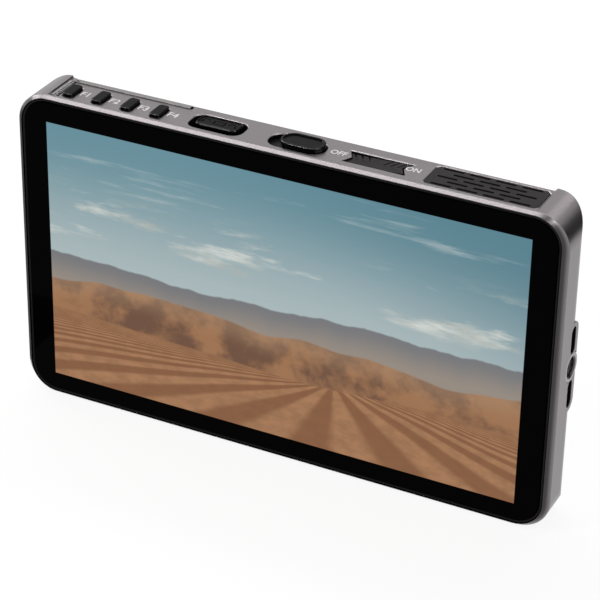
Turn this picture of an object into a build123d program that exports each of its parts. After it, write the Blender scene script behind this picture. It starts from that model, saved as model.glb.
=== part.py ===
"""Six-inch camera field monitor: machined aluminium housing, bonded glass front, keys along
the top edge, thread sockets at the side and the foot, battery bay and fan at the back.
Millimetres. X to the right, Y into the depth, Z up; the foot stands on Z = 0."""
import os
from math import radians, sqrt, tan

from build123d import *

os.makedirs("parts", exist_ok=True)

# Housing
body_width = 150.4
body_height = 88.1
corner_radius = 8.6
rear_edge_radius = 6.8
side_wall = 2.0
foot_wall = 2.0
top_wall = 2.0
rear_wall = 2.7
chamfer_run = 1.4
side_slope = 1.4
top_slope = 0.4
foot_slope = 0.9
front_radius = 7.7
front_land = 0.1

# Sunken key field along the top edge
recess_left_end = 8.25
recess_left_slope = 0.45
recess_right_end = 8.8
recess_right_slope = 0.8
recess_depth = 0.8
recess_front = 2.1
gutter_width = 1.7
gutter_depth = 0.25
well_break = 0.2

# Glass and display stack
glass_thick = 1.1
glass_lip = 1.0
lip_set_back = 0.25
tape_thick = 0.4
ledge_width = 4.75
side_ledge = 5.0
panel_thick = 1.8
backlight_thick = 2.2
stack_clearance = 0.4

# Chassis plate and boards
plate_thick = 0.9
plate_clearance = 0.3
notch_margin = 1.0
board_gap = 0.4
board_thick = 1.0
chip_height = 1.4
board_port_lap = 5.6
board_top_gap = 1.35
board_foot_gap = 2.55
board_post = 4.6
board_post_inset = 2.6
chips_at = [(-5, 12, 15, 15), (14, 12, 12, 10), (-2, -10, 10, 12), (20, -8, 14, 9)]

# Keys
key_gap = 0.1
button_count = 4
button_width = 3.0
button_length = 6.3
button_corner = 1.0
button_rise = 0.85
button_pitch = 8.4
button_first_gap = 4.25
button_set_back = 2.35
button_travel = 0.5
flange_thick = 0.7
flange_reach = 0.6
stem_drop = 0.3
stem_diameter = 2.0
cap_float = 0.6
neck_width = 2.4
neck_length = 3.3
neck_shift = 0.25
flange_length = 5.4
flange_shift = 0.2
button_crown = 0.3
key_row_set_back = 3.1
menu_key_step = 16.2
menu_key_length = 12.75
menu_key_width = 5.5
menu_key_rise = 0.7
menu_key_gap = 1.1
menu_cap_back = 0.9
menu_key_shoulder = 0.3
menu_key_dish = 0.25
menu_key_rim = 0.5
menu_key_corner = 1.7
menu_key_swing = 4.0
menu_key_slack = 0.04
menu_key_web = 3.0
menu_key_arm = 5.4
menu_key_tab = 0.45
menu_key_tab_thick = 0.55
menu_key_foot = 0.8
menu_key_seat_gap = 0.05
menu_switch_reach = 4.4
mark_depth = 0.2
mark_reach = 3.6
mark_radius = 1.2
mark_line = 0.35
mark_arrow = 0.7
frame_mark_width = 3.2
frame_mark_height = 2.0
slider_step = 22.1
slider_well_length = 15.5
slider_well_width = 7.4
slider_well_drop = 1.3
slider_length = 11.7
slider_rise = 1.2
slider_travel = 3.0
slider_gap = 0.3
slider_dish = 0.35
slider_rim = 0.6
slider_crown = 0.25
slider_stem = 3.2
slider_stem_width = 2.2
slider_slot_gap = 0.2
slider_retainer = 5.2
slider_retainer_corner = 0.6
slider_tip = 1.8
slider_groove = 0.2
lock_switch_wall = 1.0
rocker_step = 21.6
rocker_length = 16.2
rocker_width = 5.4
rocker_notch = 1.55
rocker_gap = 0.35
rocker_tilt = -2.5
rocker_dish = 0.15
rocker_float = 0.7
rocker_rise = -0.25
grip_depth = 0.35
grip_width = 0.45
grip_first = 0.9
grip_pitch = 1.85
grip_count = 3
pin_diameter = 1.2
pin_drop = 1.0
pin_fit = 0.03
lug_reach = 1.5
lug_width = 3.2
cheek_thick = 0.9
cheek_length = 5.0
switch_height = 1.6
switch_side = 3.4
plunger_rise = 0.5
plunger_diameter = 1.6
key_board_margin = 4.0

# Grille and speaker
grille_rocker_gap = 5.3
grille_end_gap = 1.05
grille_width = 9.8
grille_set_back = 3.9
grille_thick = 1.4
grille_corner = 1.0
grille_seat = 1.1
grille_slot_length = 5.4
grille_slot_width = 0.8
grille_slot_pitch = 6.77
grille_row_pitch = 2.03
grille_rows = 5
grille_margin = 1.6
speaker_inset = 1.6
speaker_depth = 6.6
speaker_height = 6.6
speaker_rim = 1.2
speaker_cone = 1.6

# Rail along the back of the key field, which a hood hooks over
rail_end_gap = 1.0
rail_length = 33.75
rail_width = 1.55
rail_wall = 0.35
rail_sink = 0.5
rail_rise = 0.25
rail_notch = 0.6

# Mounting threads: quarter-inch, twenty turns to the inch
thread_bore = 5.2
thread_length = 8.5
thread_mouth = 0.35
thread_end = 0.6
insert_flange = 8.0
insert_flange_thick = 1.8
insert_barrel = 7.0
foot_boss_gap = 0.1
foot_boss_wall = 0.9
slot_length = 7.6
slot_width = 3.0
slot_inner = 3.8
slot_drop = 1.8
pad_width = 6.0
pad_thick = 4.0
pad_end = 1.25

# Display ribbon
ribbon_x = -20.0
ribbon_width = 24.0
ribbon_thick = 0.3
ribbon_lap = 4.0

# Port panel on the left edge
port_window_end = 1.0
port_window_side = 0.6
port_pad_rim = 1.0
port_pad_thick = 3.0
port_panel_thick = 3.6
port_panel_gap = 0.1
hdmi_length = 15.0
hdmi_height = 5.6
hdmi_reach = 11.5
port_shell = 0.5
usb_length = 9.0
usb_height = 3.4
usb_reach = 7.5
jack_side = 6.4
jack_reach = 11.0
jack_bore = 5.6
phone_bore = 3.6
port_spacing = 0.8
port_back = 0.6
tongue_set_back = 1.5
tongue_length = 11.6
tongue_thick = 1.0
usb_tongue_length = 6.2
usb_tongue_thick = 0.7
jack_pin = 2.0

# Rear cover, battery bay, fan
cover_side = 11.2
cover_end = 6.05
cover_corner = 4.0
cover_thick = 1.5
cover_ledge = 4.4
cover_gap = 0.1
screw_inset = 2.7
hump_side = 7.0
hump_end = 5.0
hump_rise = 4.8
hump_corner = 5.0
hump_chamfer = 1.4
hump_wall = 1.5
bay_x = -16.0
bay_width = 43.0
bay_floor = 1.2
bay_sink = 0.9
bay_wall = 1.2
battery_width = 38.8
battery_floor = 1.3
hook_length = 10.0
hook_reach = 1.1
hook_thick = 1.0
contact_block_height = 9.0
contact_pitch = 6.5
contact_blade = 0.8
contact_deep = 2.4
contact_reach = 3.6
latch_width = 12.0
latch_height = 8.0
latch_gap = 0.15
latch_rim = 0.8
latch_tooth = 2.0
latch_tooth_width = 6.0
latch_rise = 6.0
latch_rib = 0.35
latch_rib_pitch = 1.6
latch_ribs = 2
bay_plate_gap = 0.1
bay_head_thick = 0.8
bay_screw_x = 14.0
bay_screw_z = 17.0
hook_first = 9.0
hook_pitch = 19.0
hook_count = 3
sink_base = 1.2
sink_fin = 0.6
sink_fin_pitch = 2.6
sink_left = -18.0
sink_margin = 3.0
board_sink_gap = 2.0
sink_height = 43.0
fan_hump_gap = 0.5
fan_side = 30.0
fan_height = 7.0
fan_wall = 1.0
fan_arm = 2.0
fan_arms = 3
fan_blades = 9
fan_hub = 12.0
fan_gap = 0.5
fan_pin = 2.0
fan_fit = 0.05
blade_chord = 4.4
blade_thick = 0.7
blade_pitch = 35.0
vent_slot_length = 8.0
vent_slot_width = 1.3
vent_slot_pitch = 10.0
vent_row_pitch = 3.2
side_vent_end = 9.0
side_vent_margin = 1.2
side_vent_length = 6.0
side_vent_pitch = 8.0

# Screws
screw_shank = 1.8
screw_head = 3.4
screw_head_thick = 1.0
screw_grip = 3.2
screw_play = 0.05
plate_screw_inset = 2.8
key_post = 3.4
key_post_sink = 0.15
foot_slot_lift = 0.3
cross_width = 0.45
cross_depth = 0.5

# Depths behind the front of the glass
glass_seat = glass_thick + tape_thick
stack_back = glass_thick + panel_thick + backlight_thick
plate_back = stack_back + plate_thick
board_front = plate_back + board_gap
board_back = board_front + board_thick
chip_back = board_back + chip_height
ports_depth = plate_back + plate_clearance + hdmi_height / 2
rear_inner = ports_depth + hdmi_height / 2 + port_panel_gap
body_depth = rear_inner + rear_wall
cover_front = body_depth - cover_thick
bay_outer = body_depth - bay_sink
bay_inner = bay_outer - bay_floor
overall_depth = body_depth + hump_rise
button_depth = stack_back + button_set_back
key_row_depth = stack_back + key_row_set_back
grille_depth = stack_back + grille_set_back
foot_boss = insert_barrel + 2 * foot_boss_wall
insert_depth = stack_back + insert_flange / 2
foot_insert_depth = stack_back + foot_boss / 2 + foot_boss_gap

# Outline of the housing and what follows it
front_y = -overall_depth / 2
mid_z = body_height / 2
side_x = body_width / 2
recess_left = -side_x + recess_left_end
recess_right = side_x - recess_right_end
front_width = body_width - 2 * side_slope
front_height = body_height - top_slope - foot_slope
front_middle = (foot_slope - top_slope) / 2
pocket_width = front_width - 2 * front_land
pocket_height = front_height - 2 * front_land
pocket_radius = front_radius - front_land
window_width = pocket_width - 2 * side_ledge
window_height = pocket_height - 2 * ledge_width
window_radius = pocket_radius - ledge_width
rail_front = body_depth - rail_wall - rail_width
rail_rear = body_depth - rail_wall
inner_width = body_width - 2 * side_wall
field_z = body_height - recess_depth
roof_z = field_z - top_wall
cover_width = body_width - 2 * cover_side
cover_height = body_height - 2 * cover_end
hump_width = cover_width - 2 * hump_side
hump_height = cover_height - 2 * hump_end
hump_inner = hump_width / 2 - hump_wall
hump_half = hump_height / 2
fan_x = hump_inner - fan_side / 2 - fan_hump_gap
sink_right = fan_x + fan_side / 2 + sink_margin
port_mouth_x = -side_x + port_panel_thick
plate_top = roof_z - speaker_height - plate_clearance
plate_foot = foot_wall + plate_clearance
board_left = port_mouth_x + board_port_lap
board_right = sink_right + board_sink_gap
board_top = plate_top - board_top_gap - mid_z
board_foot = thread_length + board_foot_gap - mid_z
switch_top = roof_z - key_gap - flange_thick - stem_drop - button_travel - key_gap
key_board_top = switch_top - switch_height
key_board_foot = key_board_top - board_thick

# Places along the key field, counted from its left end
button_first_x = recess_left + button_first_gap
button_xs = [button_first_x + button_pitch * index for index in range(button_count)]
menu_key_x = button_xs[-1] + menu_key_step
slider_x = menu_key_x + slider_step
rocker_x = slider_x + rocker_step
grille_left = rocker_x + rocker_length / 2 + grille_rocker_gap
grille_right = recess_right - grille_end_gap
grille_length = grille_right - grille_left
grille_x = (grille_left + grille_right) / 2
grille_columns = int((grille_length - 2 * grille_margin - grille_slot_length)
                     / grille_slot_pitch) + 1
speaker_length = grille_length - 2 * speaker_inset
rail_left = recess_left + recess_left_slope + rail_end_gap
rail_right = rail_left + rail_length


def depth_y(depth):
    """Y of a point so far behind the glass."""
    return front_y + depth


def at_depth(depth):
    """Plane across the monitor, centred on it; extrude by a minus amount to go back."""
    return Plane(origin=(0, depth_y(depth), mid_z), x_dir=(1, 0, 0), z_dir=(0, -1, 0))


def at_side(x):
    """Plane along the edge at x, local x towards the back, local y up, normal outwards."""
    along = (0, 1, 0) if x > 0 else (0, -1, 0)
    outward = (1, 0, 0) if x > 0 else (-1, 0, 0)
    return Plane(origin=(x, 0, mid_z), x_dir=along, z_dir=outward)


def finish(piece, name):
    """Name a finished piece and write it."""
    piece.part.label = name
    export_step(piece.part, "parts/" + name + ".step")


def staggered(columns, rows, pitch, row_pitch):
    """Centres of slots in rows, every other row one slot short and half a pitch over."""
    centres = []
    for row in range(rows):
        count = columns - row % 2
        for column in range(count):
            across = (column - (count - 1) / 2) * pitch
            up = (row - (rows - 1) / 2) * row_pitch
            centres.append((across, up))
    return centres


def slab(width, height, radius, front, back, x=0, z=0):
    """Rounded plate across the monitor between two depths, centred at x, z from the middle."""
    with BuildPart() as plate:
        with BuildSketch(at_depth(front)):
            with Locations((x, z)):
                RectangleRounded(width, height, radius)
        extrude(amount=front - back)
    return plate.part


def column(left, right, front, back, foot, top):
    """Plain block given by its limits: x, depth behind the glass, and height."""
    with BuildPart() as block:
        with Locations(((left + right) / 2, depth_y((front + back) / 2), (foot + top) / 2)):
            Box(right - left, back - front, top - foot)
    return block.part


def rod(diameter, x, z, front, back):
    """Round bar along the depth, z measured from the middle of the monitor."""
    with BuildPart() as bar:
        with BuildSketch(at_depth(front)):
            with Locations((x, z)):
                Circle(diameter / 2)
        extrude(amount=front - back)
    return bar.part


def post(diameter, x, depth, foot, top):
    """Upright round bar."""
    with BuildPart() as bar:
        with BuildSketch(Plane.XY.offset(foot)):
            with Locations((x, depth_y(depth))):
                Circle(diameter / 2)
        extrude(amount=top - foot)
    return bar.part


def pill(x, depth, length, width, foot, top):
    """Upright bar with round ends, its length along x."""
    with BuildPart() as bar:
        with BuildSketch(Plane.XY.offset(foot)):
            with Locations((x, depth_y(depth))):
                SlotOverall(length, width)
        extrude(amount=top - foot)
    return bar.part


def cushion(x, depth, length, width, corner, foot, top):
    """Upright rounded-rectangle bar."""
    with BuildPart() as bar:
        with BuildSketch(Plane.XY.offset(foot)):
            with Locations((x, depth_y(depth))):
                RectangleRounded(length, width, corner)
        extrude(amount=top - foot)
    return bar.part


def plan_block(width, depth, radius, front=0):
    """Upright block whose two rear vertical edges are round."""
    with BuildPart() as block:
        with BuildSketch(Plane.XY):
            with Locations((0, depth_y((front + depth) / 2))):
                Rectangle(width, depth - front)
            fillet(vertices().group_by(Axis.Y)[-1], radius)
        extrude(amount=body_height)
    return block.part


def rocker_window(length, width, foot, top):
    """Upright bar with the outline of the power rocker."""
    half, reach = length / 2, width / 2
    x, y = rocker_x, depth_y(key_row_depth)
    with BuildPart() as bar:
        with BuildSketch(Plane.XY.offset(foot)):
            with BuildLine():
                Polyline(
                    (x - half, y - reach), (x + half, y - reach), (x + half - rocker_notch, y),
                    (x + half, y + reach), (x - half, y + reach), (x - half + rocker_notch, y),
                    close=True,
                )
            make_face()
        extrude(amount=top - foot)
    return bar.part


def edge_stadium(x, depth, z, length, width, thick):
    """Bar with round ends, upright along an edge of the monitor, reaching inwards from x."""
    sign = 1 if x > 0 else -1
    with BuildPart() as bar:
        with BuildSketch(at_side(x)):
            with Locations((sign * depth_y(depth), z)):
                SlotOverall(length, width, rotation=90)
        extrude(amount=-thick)
    return bar.part


def edge_disc(x, depth, z, diameter, thick):
    """Round bar reaching inwards from an edge of the monitor."""
    sign = 1 if x > 0 else -1
    with BuildPart() as bar:
        with BuildSketch(at_side(x)):
            with Locations((sign * depth_y(depth), z)):
                Circle(diameter / 2)
        extrude(amount=-thick)
    return bar.part


def edge_block(x, depth, z, length, width, thick):
    """Square-edged bar, upright along an edge of the monitor, reaching inwards from x."""
    sign = 1 if x > 0 else -1
    with BuildPart() as bar:
        with BuildSketch(at_side(x)):
            with Locations((sign * depth_y(depth), z)):
                Rectangle(width, length)
        extrude(amount=-thick)
    return bar.part


slot_middle = slot_inner + slot_length / 2
pad_length = 2 * (slot_inner + slot_length + pad_end)
cover_screw_x = cover_width / 2 - screw_inset
cover_screw_z = cover_height / 2 - screw_inset
cover_screws_at = [
    (x, z) for x in (-cover_screw_x, -cover_screw_x / 2, cover_screw_x / 2, cover_screw_x)
    for z in (-cover_screw_z, cover_screw_z)
]
key_post_xs = [
    (button_xs[-1] + menu_key_x - menu_key_length / 2) / 2,
    (menu_key_x + menu_key_length / 2 + slider_x - slider_well_length / 2) / 2,
    (slider_x + slider_well_length / 2 + rocker_x - rocker_length / 2) / 2,
    (rocker_x + rocker_length / 2 + grille_x - speaker_length / 2) / 2,
]
slider_rest = slider_x + (slider_well_length - slider_length) / 2 - slider_gap
slider_shift = slider_rest - slider_travel / 2 - slider_x


def grille_blank(grow, foot, top):
    """Upright plate with cut corners, the grille's outline grown by so much."""
    with BuildPart() as plate:
        with BuildSketch(Plane.XY.offset(foot)):
            with Locations((grille_x, depth_y(grille_depth))):
                Rectangle(grille_length + 2 * grow, grille_width + 2 * grow)
            chamfer(vertices(), grille_corner)
        extrude(amount=top - foot)
    return plate.part


port_lengths = [hdmi_length, hdmi_length, usb_length, jack_side, jack_side]
port_reaches = [hdmi_reach, hdmi_reach, usb_reach, jack_reach, jack_reach]
port_run = sum(port_lengths) + port_spacing * (len(port_lengths) - 1)
port_window_length = port_run + 2 * port_window_end
port_window_width = hdmi_height + 2 * port_window_side
plate_screw_x = window_width / 2 + screw_head / 2
plate_screw_z = port_window_length / 2 + port_pad_rim + plate_screw_inset
plate_screws_at = [(x, z) for x in (-plate_screw_x, plate_screw_x)
                   for z in (-plate_screw_z, plate_screw_z)]


def port_middle(index):
    """Height of a port's middle over the middle of the monitor, counted from the top."""
    above = sum(port_lengths[:index]) + port_spacing * index
    return port_run / 2 - above - port_lengths[index] / 2


# Space inside the housing behind the display stack
inner_middle = (foot_wall + roof_z) / 2 - mid_z
with BuildPart() as hollow:
    with BuildSketch(at_depth(stack_back)):
        with Locations((0, inner_middle)):
            RectangleRounded(inner_width, roof_z - foot_wall, corner_radius - side_wall)
    extrude(amount=stack_back - rear_inner)
    add(plan_block(inner_width, rear_inner, rear_edge_radius - side_wall), mode=Mode.INTERSECT)

# Key field: sunken, with sloping ends, behind a narrow rim along the front
with BuildPart() as key_field:
    with BuildSketch(at_depth(recess_front)):
        with BuildLine():
            Polyline(
                (recess_left, mid_z), (recess_right, mid_z),
                (recess_right - recess_right_slope, mid_z - recess_depth),
                (recess_left + recess_left_slope, mid_z - recess_depth), close=True,
            )
        make_face()
    extrude(amount=recess_front - body_depth)
gutter_left = recess_left + recess_left_slope

# One-piece aluminium housing
with BuildPart() as body_housing:
    # slope round the glass, narrow along the top and wide at the sides
    with BuildSketch(at_depth(0)):
        with Locations((0, front_middle)):
            RectangleRounded(front_width, front_height, front_radius)
    with BuildSketch(at_depth(chamfer_run)):
        RectangleRounded(body_width, body_height, corner_radius)
    loft(ruled=True)
    add(slab(body_width, body_height, corner_radius, chamfer_run, body_depth))
    add(plan_block(body_width, body_depth, rear_edge_radius), mode=Mode.INTERSECT)
    add(slab(pocket_width, pocket_height, pocket_radius, 0, glass_seat, z=front_middle),
        mode=Mode.SUBTRACT)
    add(slab(window_width, window_height, window_radius, glass_seat, stack_back),
        mode=Mode.SUBTRACT)
    add(hollow.part, mode=Mode.SUBTRACT)
    # thicker wall round the side socket and the port window, flush with the sides
    add(edge_stadium(side_x, insert_depth, 0, pad_length, pad_width, pad_thick))
    add(edge_disc(side_x, insert_depth, 0, insert_flange, pad_thick))
    add(edge_block(-side_x, ports_depth, 0, port_window_length + 2 * port_pad_rim,
                   port_window_width + 2 * port_pad_rim, port_pad_thick))
    # boss over the foot socket
    add(post(foot_boss, 0, foot_insert_depth, foot_wall, thread_length))
    # rear opening with the seat of the cover
    add(slab(cover_width - 2 * cover_ledge, cover_height - 2 * cover_ledge,
             cover_corner - cover_gap, rear_inner, body_depth), mode=Mode.SUBTRACT)
    add(slab(cover_width + 2 * cover_gap, cover_height + 2 * cover_gap,
             cover_corner + cover_gap, cover_front, body_depth), mode=Mode.SUBTRACT)
    # key field, with a shallow gutter at the foot of its left end
    add(key_field.part, mode=Mode.SUBTRACT)
    add(column(gutter_left, gutter_left + gutter_width, recess_front, body_depth,
               field_z - gutter_depth, field_z), mode=Mode.SUBTRACT)
    # wells of the keys
    for x in button_xs:
        add(cushion(x, button_depth, button_width + 2 * key_gap, button_length + 2 * key_gap,
                    button_corner + key_gap, roof_z, body_height), mode=Mode.SUBTRACT)
    add(cushion(menu_key_x, key_row_depth, menu_key_length + 2 * menu_key_gap,
                menu_key_width + 2 * menu_key_gap, menu_key_corner + menu_key_gap,
                roof_z, body_height), mode=Mode.SUBTRACT)
    slider_z = field_z - slider_well_drop
    add(pill(slider_x, key_row_depth, slider_well_length, slider_well_width,
             slider_z, body_height), mode=Mode.SUBTRACT)
    add(pill(slider_x + slider_shift, key_row_depth,
             slider_stem + slider_travel + 2 * slider_slot_gap,
             slider_stem_width + 2 * slider_slot_gap, roof_z, slider_z), mode=Mode.SUBTRACT)
    add(rocker_window(rocker_length + 2 * rocker_gap, rocker_width + 2 * rocker_gap,
                      roof_z, body_height), mode=Mode.SUBTRACT)
    # seat of the grille, with the speaker's mouth through it
    add(grille_blank(0, field_z - grille_thick, body_height), mode=Mode.SUBTRACT)
    add(grille_blank(-grille_seat, roof_z, field_z), mode=Mode.SUBTRACT)
    # broken edges of the wells and of the grille's seat
    key_face = body_housing.faces().filter_by_position(Axis.Z, field_z, field_z)
    chamfer(key_face.sort_by(SortBy.AREA)[-1].inner_wires().edges(), well_break)
    # seat of the hood rail and the notch at its end
    add(column(rail_left, rail_right + rail_notch, rail_front, rail_rear,
               field_z - rail_sink, field_z), mode=Mode.SUBTRACT)
    # sockets and the slots that stop a plate from turning
    add(edge_disc(side_x, insert_depth, 0, insert_flange, insert_flange_thick),
        mode=Mode.SUBTRACT)
    add(edge_disc(side_x, insert_depth, 0, insert_barrel, thread_length), mode=Mode.SUBTRACT)
    add(post(insert_flange, 0, foot_insert_depth, 0, insert_flange_thick), mode=Mode.SUBTRACT)
    add(post(insert_barrel, 0, foot_insert_depth, 0, thread_length), mode=Mode.SUBTRACT)
    for sign in (-1, 1):
        add(edge_stadium(side_x, insert_depth, sign * slot_middle, slot_length, slot_width,
                         slot_drop), mode=Mode.SUBTRACT)
        add(pill(sign * slot_middle, foot_insert_depth, slot_length, slot_width, 0,
                 slot_drop - foot_slot_lift), mode=Mode.SUBTRACT)
    # window for the port panel
    add(edge_block(-side_x, ports_depth, 0, port_window_length, port_window_width,
                   hdmi_reach + port_panel_thick), mode=Mode.SUBTRACT)
    # posts that carry the key board
    for x in key_post_xs:
        add(post(key_post, x, key_row_depth, key_board_top, roof_z + key_post_sink))
    for x in key_post_xs:
        add(post(screw_shank, x, key_row_depth, key_board_top, roof_z), mode=Mode.SUBTRACT)
    # screw holes of the cover and of the chassis plate
    for x, z in cover_screws_at:
        add(rod(screw_shank, x, z, rear_inner, cover_front), mode=Mode.SUBTRACT)
    for x, z in plate_screws_at:
        add(rod(screw_shank, x, z, stack_back - screw_grip, stack_back), mode=Mode.SUBTRACT)
finish(body_housing, "body_housing")

# Cover glass with the touch layer, and the black ring that beds it
glass_width = pocket_width - 2 * glass_lip
glass_height = pocket_height - 2 * glass_lip
glass_radius = pocket_radius - glass_lip
with BuildPart() as front_glass:
    add(slab(glass_width, glass_height, glass_radius, 0, glass_thick, z=front_middle))
finish(front_glass, "front_glass")

with BuildPart() as glass_gasket:
    add(slab(pocket_width, pocket_height, pocket_radius, lip_set_back, glass_seat,
             z=front_middle))
    add(slab(glass_width, glass_height, glass_radius, 0, glass_thick, z=front_middle),
        mode=Mode.SUBTRACT)
    add(slab(window_width, window_height, window_radius, glass_thick, glass_seat),
        mode=Mode.SUBTRACT)
finish(glass_gasket, "glass_gasket")

# Display panel bonded to the glass, backlight behind it, chassis plate behind both
panel_width = window_width - 2 * stack_clearance
panel_height = window_height - 2 * stack_clearance
panel_back = glass_thick + panel_thick
with BuildPart() as display_panel:
    add(slab(panel_width, panel_height, window_radius - stack_clearance,
             glass_thick, panel_back))
finish(display_panel, "display_panel")

with BuildPart() as backlight_unit:
    add(slab(panel_width, panel_height, window_radius - stack_clearance,
             panel_back, stack_back))
finish(backlight_unit, "backlight_unit")

plate_width = inner_width - 2 * plate_clearance
socket_notch = foot_boss / 2 + notch_margin
board_posts_at = [
    (x, z) for x in (board_left + board_post_inset, board_right - board_post_inset)
    for z in (board_foot + board_post_inset, board_top - board_post_inset)
]
with BuildPart() as chassis_plate:
    add(slab(plate_width, plate_top - plate_foot, corner_radius - side_wall, stack_back, plate_back,
             z=(plate_top + plate_foot) / 2 - mid_z))
    # clear of the side socket, the foot socket and the ports
    add(column(side_x - thread_length - notch_margin, side_x, stack_back, plate_back,
               mid_z - pad_length / 2, mid_z + pad_length / 2), mode=Mode.SUBTRACT)
    add(column(-socket_notch, socket_notch, stack_back, plate_back, 0,
               thread_length + notch_margin), mode=Mode.SUBTRACT)
    add(column(-side_x, port_mouth_x + hdmi_reach + plate_clearance, stack_back, plate_back,
               mid_z - port_window_length / 2, mid_z + port_window_length / 2),
        mode=Mode.SUBTRACT)
    port_notch = port_window_length / 2 + port_pad_rim + plate_clearance
    add(column(-side_x, -side_x + port_pad_thick + plate_clearance, stack_back, plate_back,
               mid_z - port_notch, mid_z + port_notch), mode=Mode.SUBTRACT)
    for x, z in board_posts_at:
        add(rod(board_post, x, z, plate_back, board_front))
    for x, z in board_posts_at:
        add(rod(screw_shank, x, z, stack_back, board_front), mode=Mode.SUBTRACT)
    for x, z in plate_screws_at:
        add(rod(screw_shank + 2 * screw_play, x, z, stack_back, plate_back),
            mode=Mode.SUBTRACT)
finish(chassis_plate, "chassis_plate")


def screws(name, places, seat, head_thick, reach):
    """Cross-head screws driven from the back; the head's underside lies at depth seat."""
    with BuildPart() as group:
        for x, z in places:
            add(rod(screw_head, x, z, seat, seat + head_thick))
            add(rod(screw_shank - 2 * screw_play, x, z, seat - reach, seat))
        for x, z in places:
            for width, height in ((cross_width, screw_head / 2), (screw_head / 2, cross_width)):
                with BuildSketch(at_depth(seat + head_thick)):
                    with Locations((x, z)):
                        Rectangle(width, height)
                extrude(amount=cross_depth, mode=Mode.SUBTRACT)
    finish(group, name)


screws("chassis_screws", plate_screws_at, plate_back, screw_head_thick, screw_grip)
screws("board_screws", board_posts_at, board_back, screw_head_thick,
       board_back - stack_back - screw_play)

# Main board with its chips
with BuildPart() as main_board:
    add(column(board_left, board_right, board_front, board_back,
               mid_z + board_foot, mid_z + board_top))
    for x, z in board_posts_at:
        add(rod(screw_shank + 2 * screw_play, x, z, board_front, board_back),
            mode=Mode.SUBTRACT)
    # the ports are sunk into its left edge
    for index, reach in enumerate(port_reaches):
        half = port_lengths[index] / 2
        add(column(board_left, port_mouth_x + reach, board_front, board_back,
                   mid_z + port_middle(index) - half, mid_z + port_middle(index) + half),
            mode=Mode.SUBTRACT)
    for x, z, width, height in chips_at:
        add(column(x - width / 2, x + width / 2, board_back, chip_back,
                   mid_z + z - height / 2, mid_z + z + height / 2))
finish(main_board, "main_board")

# Ports, sunk into the edge of the board behind one moulded panel, whose lip ends where the
# housing's rounded rear edge comes in
inner_round = rear_edge_radius - side_wall
lip_inset = port_pad_thick - side_wall
lip_front = plate_back + port_panel_gap
lip_back = rear_inner - inner_round + sqrt(inner_round**2 - (inner_round - lip_inset)**2)
port_lip_width = lip_back - port_panel_gap - lip_front
with BuildPart() as port_panel:
    add(edge_block(-side_x, ports_depth, 0, port_window_length - 2 * port_panel_gap,
                   port_window_width - 2 * port_panel_gap, port_pad_thick))
    add(edge_block(-side_x + port_pad_thick, lip_front + port_lip_width / 2, 0,
                   port_window_length + 2 * port_pad_rim, port_lip_width,
                   port_panel_thick - port_pad_thick))
    for index in (0, 1):
        add(edge_block(-side_x, ports_depth, port_middle(index), hdmi_length - 2 * port_shell,
                       hdmi_height - 2 * port_shell, port_panel_thick), mode=Mode.SUBTRACT)
    add(edge_stadium(-side_x, ports_depth, port_middle(2), usb_length - 2 * port_shell,
                     usb_height - 2 * port_shell, port_panel_thick), mode=Mode.SUBTRACT)
    add(edge_disc(-side_x, ports_depth, port_middle(3), jack_bore, port_panel_thick),
        mode=Mode.SUBTRACT)
    add(edge_disc(-side_x, ports_depth, port_middle(4), phone_bore, port_panel_thick),
        mode=Mode.SUBTRACT)
finish(port_panel, "port_panel")


def hdmi_port(name, index):
    """Steel shell open to the left, with the contact tongue in its middle."""
    z = port_middle(index)
    with BuildPart() as port:
        add(edge_block(port_mouth_x, ports_depth, z, hdmi_length, hdmi_height, hdmi_reach))
        add(edge_block(port_mouth_x, ports_depth, z, hdmi_length - 2 * port_shell,
                       hdmi_height - 2 * port_shell, hdmi_reach - port_back),
            mode=Mode.SUBTRACT)
        add(edge_block(port_mouth_x + tongue_set_back, ports_depth, z, tongue_length,
                       tongue_thick, hdmi_reach - tongue_set_back - port_back))
    finish(port, name)


hdmi_port("hdmi_in_port", 0)
hdmi_port("hdmi_out_port", 1)

with BuildPart() as usb_port:
    add(edge_stadium(port_mouth_x, ports_depth, port_middle(2), usb_length, usb_height,
                     usb_reach))
    add(edge_stadium(port_mouth_x, ports_depth, port_middle(2), usb_length - 2 * port_shell,
                     usb_height - 2 * port_shell, usb_reach - port_back), mode=Mode.SUBTRACT)
    add(edge_block(port_mouth_x + tongue_set_back, ports_depth, port_middle(2),
                   usb_tongue_length, usb_tongue_thick,
                   usb_reach - tongue_set_back - port_back))
finish(usb_port, "usb_port")

with BuildPart() as power_jack:
    add(edge_block(port_mouth_x, ports_depth, port_middle(3), jack_side, jack_side,
                   jack_reach))
    add(edge_disc(port_mouth_x, ports_depth, port_middle(3), jack_bore,
                  jack_reach - port_back), mode=Mode.SUBTRACT)
    add(edge_disc(port_mouth_x + tongue_set_back, ports_depth, port_middle(3), jack_pin,
                  jack_reach - tongue_set_back - port_back))
finish(power_jack, "power_jack")

with BuildPart() as headphone_jack:
    add(edge_block(port_mouth_x, ports_depth, port_middle(4), jack_side, jack_side,
                   jack_reach))
    add(edge_disc(port_mouth_x, ports_depth, port_middle(4), phone_bore,
                  jack_reach - port_back), mode=Mode.SUBTRACT)
finish(headphone_jack, "headphone_jack")

# Key board under the top edge, with its switches and screws
key_board_left = button_xs[0] - key_board_margin
key_board_right = key_post_xs[-1] + key_post
key_board_rear = rear_inner - key_gap
with BuildPart() as key_board:
    add(column(key_board_left, key_board_right, stack_back + plate_clearance,
               key_board_rear, key_board_foot, key_board_top))
    for x in key_post_xs:
        add(post(screw_shank + 2 * screw_play, x, key_row_depth, key_board_foot,
                 key_board_top), mode=Mode.SUBTRACT)
finish(key_board, "key_board")

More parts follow.
